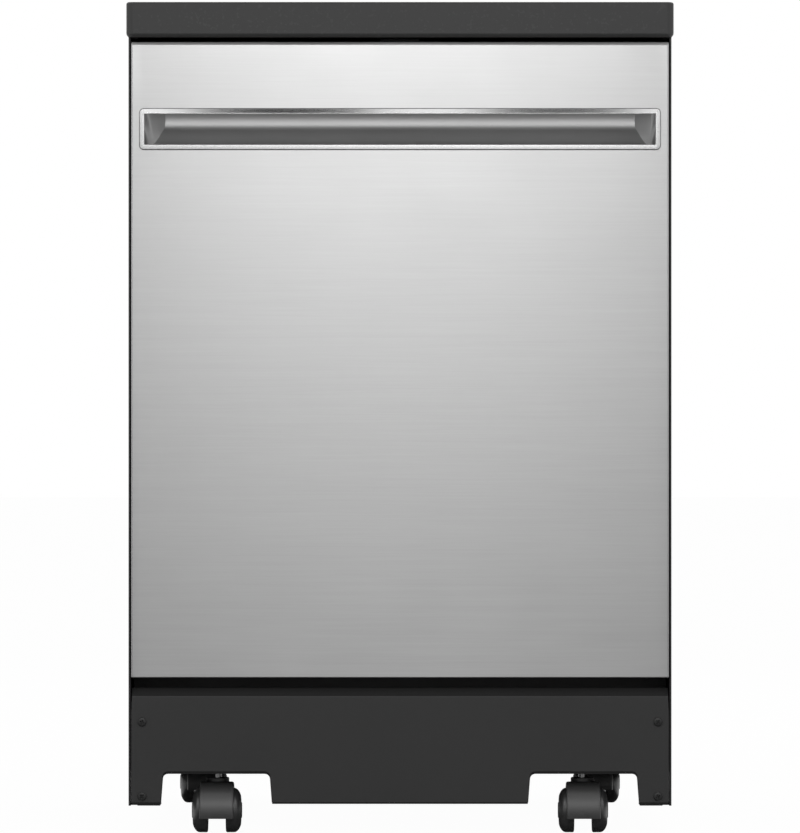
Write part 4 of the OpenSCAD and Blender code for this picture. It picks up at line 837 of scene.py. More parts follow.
# the upper rack's water feed, with the pin that the middle arm turns on
feed = Sizes(half=0.014, bandHalf=0.0165, front=-0.028, back=0.2088, low=0.5352, high=0.5471, portZ=0.5412,
             armLow=0.5167, armHigh=0.5287, bands=(0.03, 0.11, 0.18))
armY = -0.012
bm = bmesh.new()
softBlock(bm, (-feed.half, feed.front, feed.low), (feed.half, feed.back, feed.high), 0.0042, 4)
pin = [(0.0, feed.low + 0.002), (0.0135, feed.low + 0.002)]
pin += raised([(0.0125, 0.004), (0.012, 0.0006), (0.0062, 0.0003)], feed.armHigh)
pin += raised([(0.006, -0.0012), (0.0104, -0.0013), (0.011, -0.0018), (0.0107, -0.0032), (0.0, -0.0035)], feed.armLow)
turned(bm, pin, (0, armY, 0), "z", 40)
for y in feed.bands:
    softBlock(bm, (-feed.bandHalf, y, feed.low + 0.0015), (feed.bandHalf, y + 0.008, feed.high + 0.0012), 0.001, 2)
spigot = [(0.0, -0.001), (0.0075, -0.001), (0.0075, 0.0015), (0.006, 0.003), (0, 0.003)]
turned(bm, raised(spigot, feed.back), (0, 0, feed.portZ), "y", 28)
piece(bm, "upperRackFeed", "upper_rack_body", "greyPlastic", ["upper_rack"])
runner = Sizes(outer=0.2757, front=-0.222, back=0.178, low=0.6042, high=0.6122, stud=0.2566, studZ=0.6082,
               studs=(-0.19, -0.02, 0.15))
stud = raised([(0, 0), (0.0088, 0), (0.0092, 0.0006), (0.0092, 0.0034), (0.0066, 0.004), (0, 0.004)], runner.stud)
bm = bmesh.new()
for sign in (-1, 1):
    sideBlock(bm, sign, (upperRack.half - 0.003, runner.front, runner.low),
              (runner.outer, runner.back, runner.high), 0.0016, 2)
    for y in runner.studs:
        turned(bm, sided(stud, sign), (0, y, runner.studZ), "x", 26)
piece(bm, "upperRackRunners", "upper_rack_body", "greyPlastic", ["upper_rack"])
print("racks bent")

roller = Sizes(radius=0.017, inner=0.241, outer=0.249, shares=(0.12, 0.38, 0.62, 0.88), top=0.24115, arm=0.005,
               armRound=0.0012)
axleZ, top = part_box("rack_wheels")[0].z + roller.radius, roller.top
a, b, r, arm = roller.inner, roller.outer, roller.radius, roller.arm
rim = [(0.0036, a), (r - 0.0005, a), (r, a + 0.0006), (r, b - 0.0006), (r - 0.0005, b), (r - 0.003, b),
       (r - 0.004, b - 0.0014), (0.0075, b - 0.0018), (0.0068, b - 0.0002), (0.0036, b)]
pin = [(0, a - 0.01), (0.0029, a - 0.01)]
pin += raised([(0.0029, 0.001), (0.005, 0.0011), (0.0048, 0.0021), (0.003, 0.0024), (0, 0.0024)], b)
bm = bmesh.new()
for share in roller.shares:
    y = lowerRack.front + share * (lowerRack.back - lowerRack.front)
    for sign in (-1, 1):
        turned(bm, sided(rim, sign), (0, y, axleZ), "x", 36, True)
        turned(bm, sided(pin, sign), (0, y, axleZ), "x", 20)
        for outerEnd, low in ((a - 0.006, axleZ - arm), (lowerRack.half, top - 0.004)):
            sideBlock(bm, sign, (a - 0.012, y - arm, low), (outerEnd, y + arm, top), roller.armRound, 2)
piece(bm, "lowerRackRollers", "lower_rack_body", "greyPlastic", ["rack_wheels"])

basket = Sizes(wall=0.0024, slat=0.0032, pitch=0.0094, columns=3, rows=2, rim=0.01, band=0.006, bandLow=0.056,
               tall=0.12, floorSlats=21, floorSlat=0.0035, floorBars=5, floorBar=0.004, grip=0.035, gripSink=0.014,
               gripRound=0.018, hole=0.027, holeRound=0.012, gripThick=0.004)
low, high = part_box("cutlery_basket")
bm = bmesh.new()
lip, ceiling = basket.wall, low.z + basket.tall


def slatted(start, end, along, place):  # a wall of slats from start to end along X or Y, at place on the other axis
    def bar(a, b, z0, z1, soft):
        corners = ((a, place, z0), (b, place + lip, z1)) if along == "x" else ((place, a, z0), (place + lip, b, z1))
        softBlock(bm, *corners, soft, 2) if soft else block(bm, *corners)
    bandLow = low.z + basket.bandLow
    bar(start, end, low.z, low.z + basket.rim, 0.0007)
    bar(start, end, bandLow, bandLow + basket.band, 0.0005)
    bar(start, end, ceiling - basket.rim, ceiling, 0.0009)
    count = int((end - start) / basket.pitch)
    for i in range(count + 1):
        at = start + 0.001 + (end - start - 0.002 - basket.slat) * i / count
        bar(at, at + basket.slat, low.z + 0.004, ceiling - 0.004, 0)


for i in range(basket.rows + 1):
    slatted(low.x, high.x, "x", low.y + (high.y - low.y - lip) * i / basket.rows)
for i in range(basket.columns + 1):
    slatted(low.y, high.y, "y", low.x + (high.x - low.x - lip) * i / basket.columns)
for i in range(basket.floorSlats):
    x = low.x + 0.001 + (high.x - low.x - 0.006) * i / (basket.floorSlats - 1)
    block(bm, (x, low.y + 0.001, low.z + 0.0004), (x + basket.floorSlat, high.y - 0.001, low.z + 0.0024))
for i in range(basket.floorBars):
    y = low.y + 0.008 + (high.y - low.y - 0.022) * i / (basket.floorBars - 1)
    block(bm, (low.x + 0.001, y, low.z), (high.x - 0.001, y + basket.floorBar, low.z + 0.0018))
middle, centreY, gripLow = (low.x + high.x) / 2, (low.y + high.y) / 2, ceiling - basket.gripSink
grip = roundRect((middle - basket.grip, gripLow), (middle + basket.grip, high.z), basket.gripRound)
window = roundRect((middle - basket.hole, ceiling + 0.01), (middle + basket.hole, high.z - 0.01), basket.holeRound)
ringPlate(bm, grip, window, centreY - basket.gripThick, 2 * basket.gripThick)


def onGrip(place):  # whether a corner lies on the grip's front or back face
    onFace = abs(abs(place.y - centreY) - basket.gripThick) < 1e-5
    return onFace and place.z > gripLow + 0.0001 and abs(place.x - middle) < basket.grip + 0.001


rounded(bm, [e for e in sharpEdges(bm, 60) if all(onGrip(v.co) for v in e.verts)], 0.0016, 3)
piece(bm, "cutleryBasket", "lower_rack_body", "greyPlastic", ["cutlery_basket"])
print("rollers and cutlery basket shaped")


sprayArm = Sizes(half=0.02, tipHalf=0.012, tall=0.01, round=0.0034, flange=0.0007, flangeLow=0.0044,
                 flangeHigh=0.0056, nozzles=5, firstNozzle=0.02, lastNozzle=0.016, nozzleOff=0.004)
nozzle = [(0, 0.0086), (0.0014, 0.0086), (0.0017, 0.0107), (0.0024, 0.011), (0.0034, 0.0106), (0.004, 0.0098)]


def armOutline(reach, shrink):
    tip, wide = sprayArm.tipHalf, sprayArm.half - shrink
    outline = []
    for x, radius, start, end, steps in ((reach - tip, tip - shrink, -90, 90, 10), (0.0, wide, 60, 120, 6),
                                         (tip - reach, tip - shrink, 90, 270, 10), (0.0, wide, 240, 300, 6)):
        outline += arc((x, armY), radius, start, end, steps)
    return outline


for label, length, pinRadius in (("lower", 0.47, 0.008), ("middle", 0.42, 0.006), ("upper", 0.34, 0.006)):
    z, reach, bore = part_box(label + "_spray_arm")[0].z + 0.0005, length / 2, pinRadius + 0.0001
    bm = bmesh.new()
    edges = slab(bm, armOutline(reach, sprayArm.flange), "z", z, z + sprayArm.tall)
    rounded(bm, [e for e in edges if span(e, "z") < 1e-6], sprayArm.round, 4)
    slab(bm, armOutline(reach, 0.0), "z", z + sprayArm.flangeLow, z + sprayArm.flangeHigh)
    bossR = pinRadius + 0.0078
    boss = [(bore, -0.0004), (bossR - 0.001, -0.0004), (bossR, 0.0006), (bossR, 0.0105), (bossR - 0.0008, 0.0114),
            (bore, 0.0114)]
    turned(bm, raised(boss, z), (0, armY, 0), "z", 40, True)
    pitch = (reach - sprayArm.firstNozzle - sprayArm.lastNozzle) / sprayArm.nozzles
    for sign in (-1, 1):
        for i in range(1, sprayArm.nozzles + 1):
            place = (sign * (sprayArm.firstNozzle + i * pitch), armY + sign * sprayArm.nozzleOff, 0)
            turned(bm, raised(nozzle, z), place, "z", 16)
    piece(bm, label + "SprayArm", label + "_arm", "greyPlastic", [label + "_spray_arm"])
print("spray arms shaped")


liner = Sizes(half=0.3031, low=0.205, high=0.8835, face=-0.278, rim=0.02, notch=0.012, notchTop=0.236, edge=0.004,
              sheet=0.0011, cupHalf=0.091, cupLow=0.511, cupHigh=0.599, fieldHalf=0.262,
              fields=((0.262, 0.47), (0.64, 0.852)), sunk=-0.0042, border=0.0058, screwX=0.2968,
              screws=(0.3, 0.49, 0.68, 0.865), screwSize=(0.0029, 0.0012, 0.0016))
bm = bmesh.new()
h, n = liner.half, liner.notch
rightSide = [(h - n, liner.low), (h - n, liner.notchTop), (h, liner.notchTop), (h, liner.high)]
outline = rightSide + [(-x, z) for x, z in rightSide[::-1]]
slab(bm, outline, "y", liner.face, liner.face - liner.rim)
openSide(bm, -1)
edges = [e for e in sharpEdges(bm, 60) if all(v.co.y > liner.face - 0.001 for v in e.verts)]
rounded(bm, edges, liner.edge, 4)
fieldX, cupLow, cupHigh = liner.fieldHalf, (-liner.cupHalf, liner.cupLow), (liner.cupHalf, liner.cupHigh)
cutAt(bm, (("x", (-fieldX, fieldX, cupLow[0], cupHigh[0])),
           ("z", (*liner.fields[0], *liner.fields[1], cupLow[1], cupHigh[1]))), lambda f: f.normal.y > 0.99)
for fieldLow, fieldHigh in liner.fields:
    field = [f for f in bm.faces if f.normal.y > 0.99 and inField(f, (-fieldX, fieldLow), (fieldX, fieldHigh))]
    sink(bm, field, liner.border, liner.sunk)
hole = [f for f in bm.faces if f.normal.y > 0.99 and inField(f, cupLow, cupHigh)]
bmesh.ops.delete(bm, geom=hole, context="FACES")
piece(bm, "doorLinerPan", "door", "tubSteel", ["door_liner"], crease=28, outward=False,
      sheet=liner.sheet)
bm = bmesh.new()
places = [(x, liner.face, z) for x in (-liner.screwX, liner.screwX) for z in liner.screws]
screwHeads(bm, liner.screwSize, -1, places, lambda x, z: z * 40)
piece(bm, "linerScrews", "door", "casterSteel", flat=False)

cup = Sizes(half=0.095, low=0.507, high=0.603, face=-0.275, corner=0.012, plate=0.003, plateRound=0.0011,
            wellLow=0.525, wellHigh=0.585, wellX=-0.083, wellWide=0.058, wellCorner=0.006, wellDeep=0.0228,
            wellRound=0.005, wellSheet=0.0012, capX=0.071, capZ=0.555, guideX=0.041, guideGap=0.0344)
face, wellX, wellLow, wellHigh = cup.face, cup.wellX, cup.wellLow, cup.wellHigh
wellEnd = wellX + cup.wellWide
bm = bmesh.new()
outer = roundRect((-cup.half, cup.low), (cup.half, cup.high), cup.corner)
inner = roundRect((wellX, wellLow), (wellEnd, wellHigh), cup.wellCorner, 5)
rounded(bm, ringPlate(bm, outer, inner, face, -cup.plate), cup.plateRound, 3)
piece(bm, "detergentFrame", "door", "greyPlastic", ["detergent_cup"])
bm = bmesh.new()
block(bm, (wellX - 0.0005, face - cup.wellDeep, wellLow - 0.0005),
      (wellEnd + 0.0005, face - 0.0006, wellHigh + 0.0005))
openSide(bm, 1)
rounded(bm, [e for e in bm.edges if not e.is_boundary], cup.wellRound, 4)
bmesh.ops.reverse_faces(bm, faces=bm.faces)
piece(bm, "detergentWell", "door", "greyPlastic", ["detergent_cup"], outward=False,
      sheet=cup.wellSheet)

# the dispenser's case, the guides of its lid, a ridge for the thumb and the ring round the cap
bm = bmesh.new()
softBlock(bm, (0.01, face - 0.022, cup.low + 0.006), (cup.half - 0.006, face - 0.0029, cup.high - 0.006), 0.003, 2)
middle = (cup.low + cup.high) / 2
for way in (-1, 1):
    for y, inward in ((face, 0.0), (face + 0.0026, 0.0016)):
        ends = sorted((middle + way * (cup.guideGap - inward), middle + way * (cup.guideGap + 0.002)))
        softBlock(bm, (wellX - 0.004, y, ends[0]), (cup.guideX, face + 0.0038, ends[1]), 0.0005, 2)
softBlock(bm, (0.015, face - 0.0002, 0.5185), (0.05, face + 0.0006, 0.5205), 0.0002, 1)
ring = [(0.0172, 0.0), (0.0182, 0.0012), (0.0196, 0.0012), (0.0204, 0.0)]
turned(bm, raised(ring, face - 0.0002), (cup.capX, 0, cup.capZ), "y", 40)
piece(bm, "detergentGuides", "door", "greyPlastic", ["detergent_cup"])
low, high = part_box("dispenser_lid")
lid = Sizes(thick=0.0021, round=0.0009, grip=0.006, gripIn=0.008, ridges=4, ridgeAt=0.022, ridgePitch=0.007,
            ridge=0.0022, ridgeIn=0.016, ridgeProud=0.0027)
bm = bmesh.new()
softBlock(bm, low, (high.x, low.y + lid.thick, high.z), lid.round)
softBlock(bm, (wellX + lid.grip, face + 0.0018, wellLow + lid.gripIn),
          (wellX + 2 * lid.grip, high.y, wellHigh - lid.gripIn), 0.0016)
for i in range(lid.ridges):
    x = wellX + lid.ridgeAt + i * lid.ridgePitch
    softBlock(bm, (x, low.y + 0.0019, wellLow + lid.ridgeIn),
              (x + lid.ridge, low.y + lid.ridgeProud, wellHigh - lid.ridgeIn), 0.0004, 2)
piece(bm, "dispenserLid", "dispenser_lid_body", "lightPlastic", ["dispenser_lid"])
cap = Sizes(radius=0.016, gripHalf=0.0128, gripTall=0.0025, gripProud=0.007, gripRound=0.0014)
bm = bmesh.new()
profile = [(0, 0.0035), (0.0118, 0.0035), (0.0128, 0.003), (0.0138, 0.0034), (0.0152, 0.0033), (cap.radius, 0.0026),
           (cap.radius, 0.0003), (0.0069, 0.0003), (0.0069, -0.01), (0, -0.01)]
turned(bm, raised(profile, face), (cup.capX, 0, cup.capZ), "y", 48)
softBlock(bm, (cup.capX - cap.gripHalf, face + 0.003, cup.capZ - cap.gripTall),
          (cup.capX + cap.gripHalf, face + cap.gripProud, cup.capZ + cap.gripTall), cap.gripRound)
block(bm, (cup.capX - 0.0008, face + 0.0066, cup.capZ - 0.0018),
      (cup.capX + 0.0008, face + cap.gripProud, cup.capZ + 0.0018))
piece(bm, "rinseCap", "rinse_cap_body", "darkPlastic", ["rinse_cap"])

button = Sizes(round=0.002, flat=0.0007, slope=0.0016, sunk=-0.0004, edge=0.0004)
for label in ("cycle", "dry", "start"):
    low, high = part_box(label + "_button")
    bm = bmesh.new()
    block(bm, low, high)
    rounded(bm, [e for e in bm.edges if span(e, "z") > 0.001], button.round, 4)
    topFace = max(bm.faces, key=lambda f: f.normal.z * f.calc_area())
    sink(bm, [topFace], button.flat, 0.0)
    sink(bm, [topFace], button.slope, button.sunk)
    rim = [e for e in sharpEdges(bm, 60) if all(v.co.z > high.z - 0.0001 for v in e.verts)]
    rounded(bm, rim, button.edge, 2)
    piece(bm, label + "Button", label + "_button_body", "buttonPlastic", [label + "_button"])
panel = Sizes(face=0.897, buttonAt=0.12, pitch=0.034, wide=0.016, deep=0.009, buttonY=-0.308, gap=0.0006,
              frame=0.0014, proud=0.0005, dotY=-0.2925)
dot = raised([(0.0011, -0.0001), (0.0011, 0.0003), (0.0006, 0.0005), (0, 0.0005)], panel.face)
bm = bmesh.new()
for i in range(3):
    x, y, f = panel.buttonAt + i * panel.pitch, panel.buttonY, panel.frame
    x0, x1, y0, y1 = x - panel.gap, x + panel.wide + panel.gap, y - panel.gap, y + panel.deep + panel.gap
    for a, b in (((x0 - f, y0 - f), (x0, y1 + f)), ((x1, y0 - f), (x1 + f, y1 + f)),
                 ((x0, y0 - f), (x1, y0)), ((x0, y1), (x1, y1 + f))):
        softBlock(bm, (*a, panel.face - 0.0002), (*b, panel.face + panel.proud), 0.0002, 1)
    turned(bm, dot, (x + panel.wide / 2, panel.dotY, 0), "z", 14)
piece(bm, "buttonFrames", "door", "greyPlastic")
low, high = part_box("indicator_lens")
bm = bmesh.new()
softBlock(bm, low, high, 0.0008)
for share in (0.25, 0.5, 0.75):
    x = low.x + (high.x - low.x) * share
    block(bm, (x - 0.0003, low.y + 0.0006, high.z - 0.0004), (x + 0.0003, high.y - 0.0006, high.z + 0.0001))
piece(bm, "indicatorLens", "door", "lens", ["indicator_lens"])
print("inner door shaped")


tub = Sizes(half=0.282, front=-0.27, back=0.246, sheet=0.0012, bead=0.01, proud=0.0011, sink=0.0002, beadFront=-0.215,
            beadBack=0.195, sideBeads=(0.3, 0.345, 0.39, 0.7, 0.745, 0.79),
            backBeads=(-0.215, -0.165, 0.075, 0.125, 0.175), backRows=((0.26, 0.54), (0.64, 0.82)), screwX=0.2965,
            screws=(0.25, 0.43, 0.61, 0.79, 0.87), screwSize=(0.0036, 0.0012, 0.0018))
bm = bmesh.new()
inX, backY, beadRound = tub.half - tub.sheet, tub.back - tub.sheet, tub.proud * 0.9
for sign in (-1, 1):
    for z in tub.sideBeads:
        sideBlock(bm, sign, (inX - tub.proud, tub.beadFront, z),
                  (inX + tub.sink, tub.beadBack, z + tub.bead), beadRound)
for x in tub.backBeads:
    for z0, z1 in tub.backRows:
        softBlock(bm, (x, backY - tub.proud, z0), (x + tub.bead, backY + tub.sink, z1), beadRound)
piece(bm, "tubBeads", "cabinet", "tubSteel")
bm = bmesh.new()
screwHeads(bm, tub.screwSize, 1, [(x, tub.front, z) for x in (-tub.screwX, tub.screwX) for z in tub.screws])
piece(bm, "tubFlangeScrews", "cabinet", "casterSteel", flat=False)

# bulb seal round the mouth of the tub, on a flat foot
seal = Sizes(x=0.289, low=0.2416, high=0.881, y=-0.2742, bend=0.008, bulb=0.0034, foot=0.0018, footHalf=0.0049,
             footLow=0.2382, footTop=0.8858, bridgeHalf=0.284, bridgeLow=0.8762)
ends = [[(x, seal.y, seal.low), (x, seal.y, seal.high)] for x in (-seal.x, seal.x)]
path = bent(ends[0] + ends[1][::-1], seal.bend, 6)
wires("doorSealBulb", "cabinet", "rubber", ["door_gasket"], [(path, False, 1.0)], seal.bulb, 3)
bm = bmesh.new()
footY, footTop = (tub.front - seal.foot, tub.front), seal.footTop
for x in (-seal.x, seal.x):
    softBlock(bm, (x - seal.footHalf, footY[0], seal.footLow), (x + seal.footHalf, footY[1], footTop), 0.0006, 2)
softBlock(bm, (-seal.bridgeHalf, footY[0], seal.bridgeLow), (seal.bridgeHalf, footY[1], footTop), 0.0006, 2)
piece(bm, "doorSealFoot", "cabinet", "rubber", ["door_gasket"])

rail = Sizes(inner=0.2648, outer=0.2808, front=-0.252, back=0.198, low=0.5972, high=0.6192, slotLow=0.6032,
             slotHigh=0.6132, wall=0.004, studs=(-0.246, -0.102, 0.138), studZ=0.6002)
i, o, w = rail.inner, rail.outer, rail.wall
section = [(i, rail.low), (o, rail.low), (o, rail.high), (i, rail.high), (i, rail.slotHigh),
           (o - w, rail.slotHigh), (o - w, rail.slotLow), (i, rail.slotLow)]
stud = raised([(0, 0.0002), (0.0026, 0.0002), (0.0024, -0.0008), (0.001, -0.0011), (0, -0.0011)], i)
bm = bmesh.new()
for sign in (-1, 1):
    edges = slab(bm, [(sign * x, z) for x, z in section], "y", rail.front, rail.back - w)
    rounded(bm, [e for e in edges if span(e, "y") > 0.1 and abs(abs(e.verts[0].co.x) - i) < 0.0001], 0.0012, 3)
    sideBlock(bm, sign, (i, rail.back - w, rail.low), (o, rail.back, rail.high), 0.0015)
    for y in rail.studs:
        turned(bm, sided(stud, sign), (0, y, rail.studZ), "x", 16)
piece(bm, "rackRails", "cabinet", "lightPlastic", ["rack_rails"])

tower = Sizes(half=0.015, bandHalf=0.0185, back=0.2448, deep=0.014, low=0.1972, roof=0.8788, thick=0.012, front=-0.03,
              round=0.0045, bandProud=0.0012, backBands=(0.3, 0.44, 0.66, 0.8), roofBands=(0.04, 0.13, 0.2),
              armTop=0.8563, armLow=0.8443)
half, bandHalf, backY, roof = tower.half, tower.bandHalf, tower.back, tower.roof
frontY, roofLow = backY - tower.deep, roof - tower.thick
bm = bmesh.new()
softBlock(bm, (-half, frontY, tower.low), (half, backY, roof), tower.round, 4)
softBlock(bm, (-half, tower.front, roofLow), (half, backY - 0.002, roof), tower.round, 4)
for z in tower.backBands:
    softBlock(bm, (-bandHalf, frontY - tower.bandProud, z), (bandHalf, backY, z + 0.012), 0.001, 2)
for y in tower.roofBands:
    softBlock(bm, (-bandHalf, y, roofLow - tower.bandProud), (bandHalf, y + 0.01, roof), 0.001, 2)
socket = [(0.0032, 0.222), (0.0048, 0.222), (0.005, 0.2226), (0.005, 0.229), (0.0085, 0.2305), (0.0085, 0.234),
          (0.0032, 0.234)]
turned(bm, socket, (0, 0, feed.portZ), "y", 32, True)
pin = [(0, 0.87), (0.014, 0.87), (0.014, 0.86)] + raised([(0.0128, 0.001), (0.006, 0.0007)], tower.armTop)
pin += raised([(0.006, -0.001), (0.0104, -0.0011), (0.011, -0.0016), (0.0107, -0.0032), (0, -0.0034)], tower.armLow)
turned(bm, pin, (0, armY, 0), "z", 40)
piece(bm, "sprayConduit", "cabinet", "greyPlastic", ["spray_tower"])

# filter drum with a ribbed collar and a hub that carries the lower arm
drain = Sizes(centre=(0.0, armY, 0.0), floor=0.1972, ribs=36, lugs=3)
f = drain.floor
drum = [(0, 0.142), (0.05, 0.142)]
drum += raised([(0.058, -0.004), (0.058, 0.0005), (0.0692, 0.0005), (0.07, 0.0011), (0.0696, 0.002), (0.064, 0.0026),
                (0.062, 0.002), (0.028, 0.0034), (0.0262, 0.0042), (0.024, 0.0042), (0.017, 0.011),
                (0.016, 0.0125)], f)
drum += [(0.016, 0.2196), (0.0154, 0.2202), (0.008, 0.2202), (0.008, 0.2342), (0.0124, 0.2342), (0.013, 0.2347),
         (0.0128, 0.2362), (0.011, 0.2372), (0, 0.2372)]
bm = bmesh.new()
turned(bm, drum, drain.centre, "z", 64)
spokes(bm, drain.ribs, (0.03, -0.0008, f + 0.0024), (0.0605, 0.0008, f + 0.0044), drain.centre,
       lean=(0, 0, -0.001), picks=lambda place: place.x > 0.05)
spokes(bm, drain.lugs, (0.0155, -0.002, f + 0.011), (0.0225, 0.002, f + 0.0205), drain.centre, share=0.3,
       lean=(-0.0035, 0, 0), picks=lambda place: place.x > 0.02 and place.z > f + 0.015)
piece(bm, "filterDrum", "cabinet", "greyPlastic", ["filter"])

low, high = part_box("float_dome")
centre, base = ((low.x + high.x) / 2, (low.y + high.y) / 2, 0), high.z - 0.018
dome = raised([(0, 0), (0.0044, 0), (0.005, 0.0006)], low.z)
dome += raised([(0.005, 0), (0.0172, 0), (0.018, 0.0008), (0.018, 0.0055), (0.0172, 0.0062), (0.0172, 0.008),
                (0.0178, 0.0088), (0.0172, 0.013), (0.015, 0.0163), (0.0115, 0.0178), (0.006, 0.018), (0.005, 0.0174),
                (0, 0.0174)], base)
bm = bmesh.new()
turned(bm, dome, centre, "z", 48)
piece(bm, "floatDome", "float", "lightPlastic", ["float_dome"])
print("tub pieces shaped")


# hose couplings on the bay's floor: a threaded inlet, a barbed drain, and a ribbed gland for a lead
coupling = Sizes(floor=0.263, end=0.287, z=0.66, inletX=-0.075, glandX=0.075, lugs=6)
start, end, z = coupling.floor, coupling.end, coupling.z
bm = bmesh.new()
thread = raised([(0.0066, -0.002), (0.0185, -0.002), (0.0185, 0.0018), (0.012, 0.0024), (0.0098, 0.003)], start)
thread += ribs(7, start + 0.004, 0.0026, [(0.0092, 0), (0.01, 0.0007), (0.01, 0.0012), (0.0092, 0.0019)])
thread += raised([(0.0092, -0.0004), (0.0088, 0), (0.0066, 0)], end)
turned(bm, thread, (coupling.inletX, 0, z), "y", 40, True)
spokes(bm, coupling.lugs, (0.0096, start - 0.0018, -0.0052), (0.016, start + 0.0016, 0.0052),
       (coupling.inletX, 0, z), "Y")
barb = raised([(0.0086, -0.002), (0.019, -0.002), (0.019, 0.0014), (0.013, 0.0022), (0.0112, 0.003)], start)
barb += ribs(4, start + 0.0045, 0.0048, [(0.0104, 0), (0.0119, 0.0002), (0.0106, 0.004)])
barb += raised([(0.01, -0.0006), (0.0086, 0)], end)
turned(bm, barb, (0, 0, z), "y", 40, True)
piece(bm, "hoseCouplings", "cabinet", "lightPlastic", ["hose_bay"])
bm = bmesh.new()
gland = raised([(0.0046, -0.002), (0.015, -0.002), (0.015, 0.003), (0.0138, 0.0042)], start)
for i in range(5):
    foot, crest = 0.0092 - 0.0005 * i, 0.011 - 0.0006 * i
    gland += ribs(1, start + 0.005 + i * 0.0038, 0, [(foot, 0), (crest, 0.0008), (crest, 0.002), (foot, 0.0028)])
gland += raised([(0.0066, -0.0002), (0.006, 0), (0.0046, 0)], end)
turned(bm, gland, (coupling.glandX, 0, z), "y", 36, True)
piece(bm, "leadGland", "cabinet", "rubber", ["hose_bay"])

# what the base holds under the tub: the sump and its outlets, two pumps and the inlet valve
under = Sizes(deck=0.0715, pumpDrop=0.042, outletUp=0.026, drainZ=0.14, pumpFront=0.0732, sumpRibs=12, valve=0.022,
              valveTop=0.1175, spoutZ=0.0955, spoutLong=0.044)
centre = (0, armY, 0)
pumpZ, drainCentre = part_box("circulation_pump")[1].z - under.pumpDrop, (0, armY, under.drainZ)
bowl = [(0.0602, 0.196), (0.0602, 0.1222), (0.056, 0.121), (0, 0.121), (0, 0.118), (0.057, 0.118), (0.0618, 0.1186),
        (0.063, 0.1204), (0.063, 0.15), (0.0645, 0.151), (0.0645, 0.153), (0.063, 0.154), (0.063, 0.1925),
        (0.0764, 0.193), (0.077, 0.1936), (0.077, 0.1955), (0.0764, 0.196)]
bm = bmesh.new()
turned(bm, bowl, centre, "z", 56, True)
spokes(bm, under.sumpRibs, (0.062, -0.001, 0.16), (0.074, 0.001, 0.1932), centre, share=0.5,
       lean=(-0.01, 0, 0), picks=lambda place: place.x > 0.07 and place.z < 0.17)
outlet = [(0.012, 0.049), (0.015, 0.049), (0.015, 0.066), (0.0166, 0.067), (0.0166, 0.0715), (0.015, 0.0725),
          (0.012, 0.0725)]
turned(bm, outlet, (0, 0, pumpZ + under.outletUp), "y", 32, True)
outlet = [(0.009, -0.061), (0.012, -0.061), (0.012, -0.078), (0.0134, -0.079), (0.0134, -0.0836), (0.012, -0.0846),
          (0.009, -0.0846)]
turned(bm, outlet, drainCentre, "x", 28, True)
piece(bm, "sumpBowl", "cabinet", "darkPlastic", ["sump"])
motor = [(0, 0), (0.016, 0), (0.016, 0.002), (0.04, 0.003), (0.0418, 0.005), (0.042, 0.023), (0.0405, 0.0255),
         (0.0362, 0.0262)]
motor += ribs(9, 0.03, 0.0096, [(0.035, 0), (0.036, 0.0012), (0.036, 0.0044), (0.035, 0.0056)])
motor += [(0.035, 0.1185), (0.033, 0.12), (0.02, 0.1204), (0.0198, 0.127), (0.0186, 0.1278), (0, 0.1278)]
bm = bmesh.new()
turned(bm, raised(motor, under.pumpFront), (0, 0, pumpZ), "y", 48)
for y in (under.pumpFront + 0.034, under.pumpFront + 0.092):
    softBlock(bm, (-0.03, y, under.deck), (0.03, y + 0.01, pumpZ - 0.012), 0.002, 2)
piece(bm, "circulationPump", "cabinet", "darkPlastic", ["circulation_pump"])
motor = [(0, -0.0852), (0.0262, -0.0852), (0.028, -0.0868), (0.028, -0.103), (0.0262, -0.1046), (0.0222, -0.105)]
motor += ribs(5, -0.108, -0.0094, [(0.0212, 0), (0.022, -0.0012), (0.022, -0.004), (0.0212, -0.0052)])
motor += [(0.0212, -0.159), (0.0196, -0.161), (0, -0.161)]
bm = bmesh.new()
turned(bm, motor, drainCentre, "x", 44)
softBlock(bm, (-0.145, -0.024, under.deck), (-0.125, 0.000, 0.126), 0.002, 2)
piece(bm, "drainPump", "cabinet", "darkPlastic", ["drain_pump"])
low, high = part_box("inlet_valve")
x, y, half = (low.x + high.x) / 2, low.y + under.valve, under.valve
bm = bmesh.new()
softBlock(bm, (x - half, y - half, under.deck + 0.0001), (x + half, y + half, under.valveTop), 0.003)
coil = [(0.015, 0.1168), (0.015, 0.122), (0.0136, 0.1228), (0.0136, 0.144), (0.015, 0.1448), (0.015, 0.1535),
        (0.014, 0.1553), (0, 0.1553)]
turned(bm, coil, (x, y, 0), "z", 36)
spout = [(0.0065, 0.0215)] + ribs(4, 0.024, 0.0045, [(0.0092, 0), (0.01, 0.001), (0.01, 0.0024), (0.0092, 0.0034)])
spout += [(0.0092, 0.0434), (0.0086, 0.044), (0.0065, 0.044)]
turned(bm, raised(spout, high.y - under.spoutLong), (x, 0, under.spoutZ), "y", 32, True)
piece(bm, "inletValve", "cabinet", "lightPlastic", ["inlet_valve"])

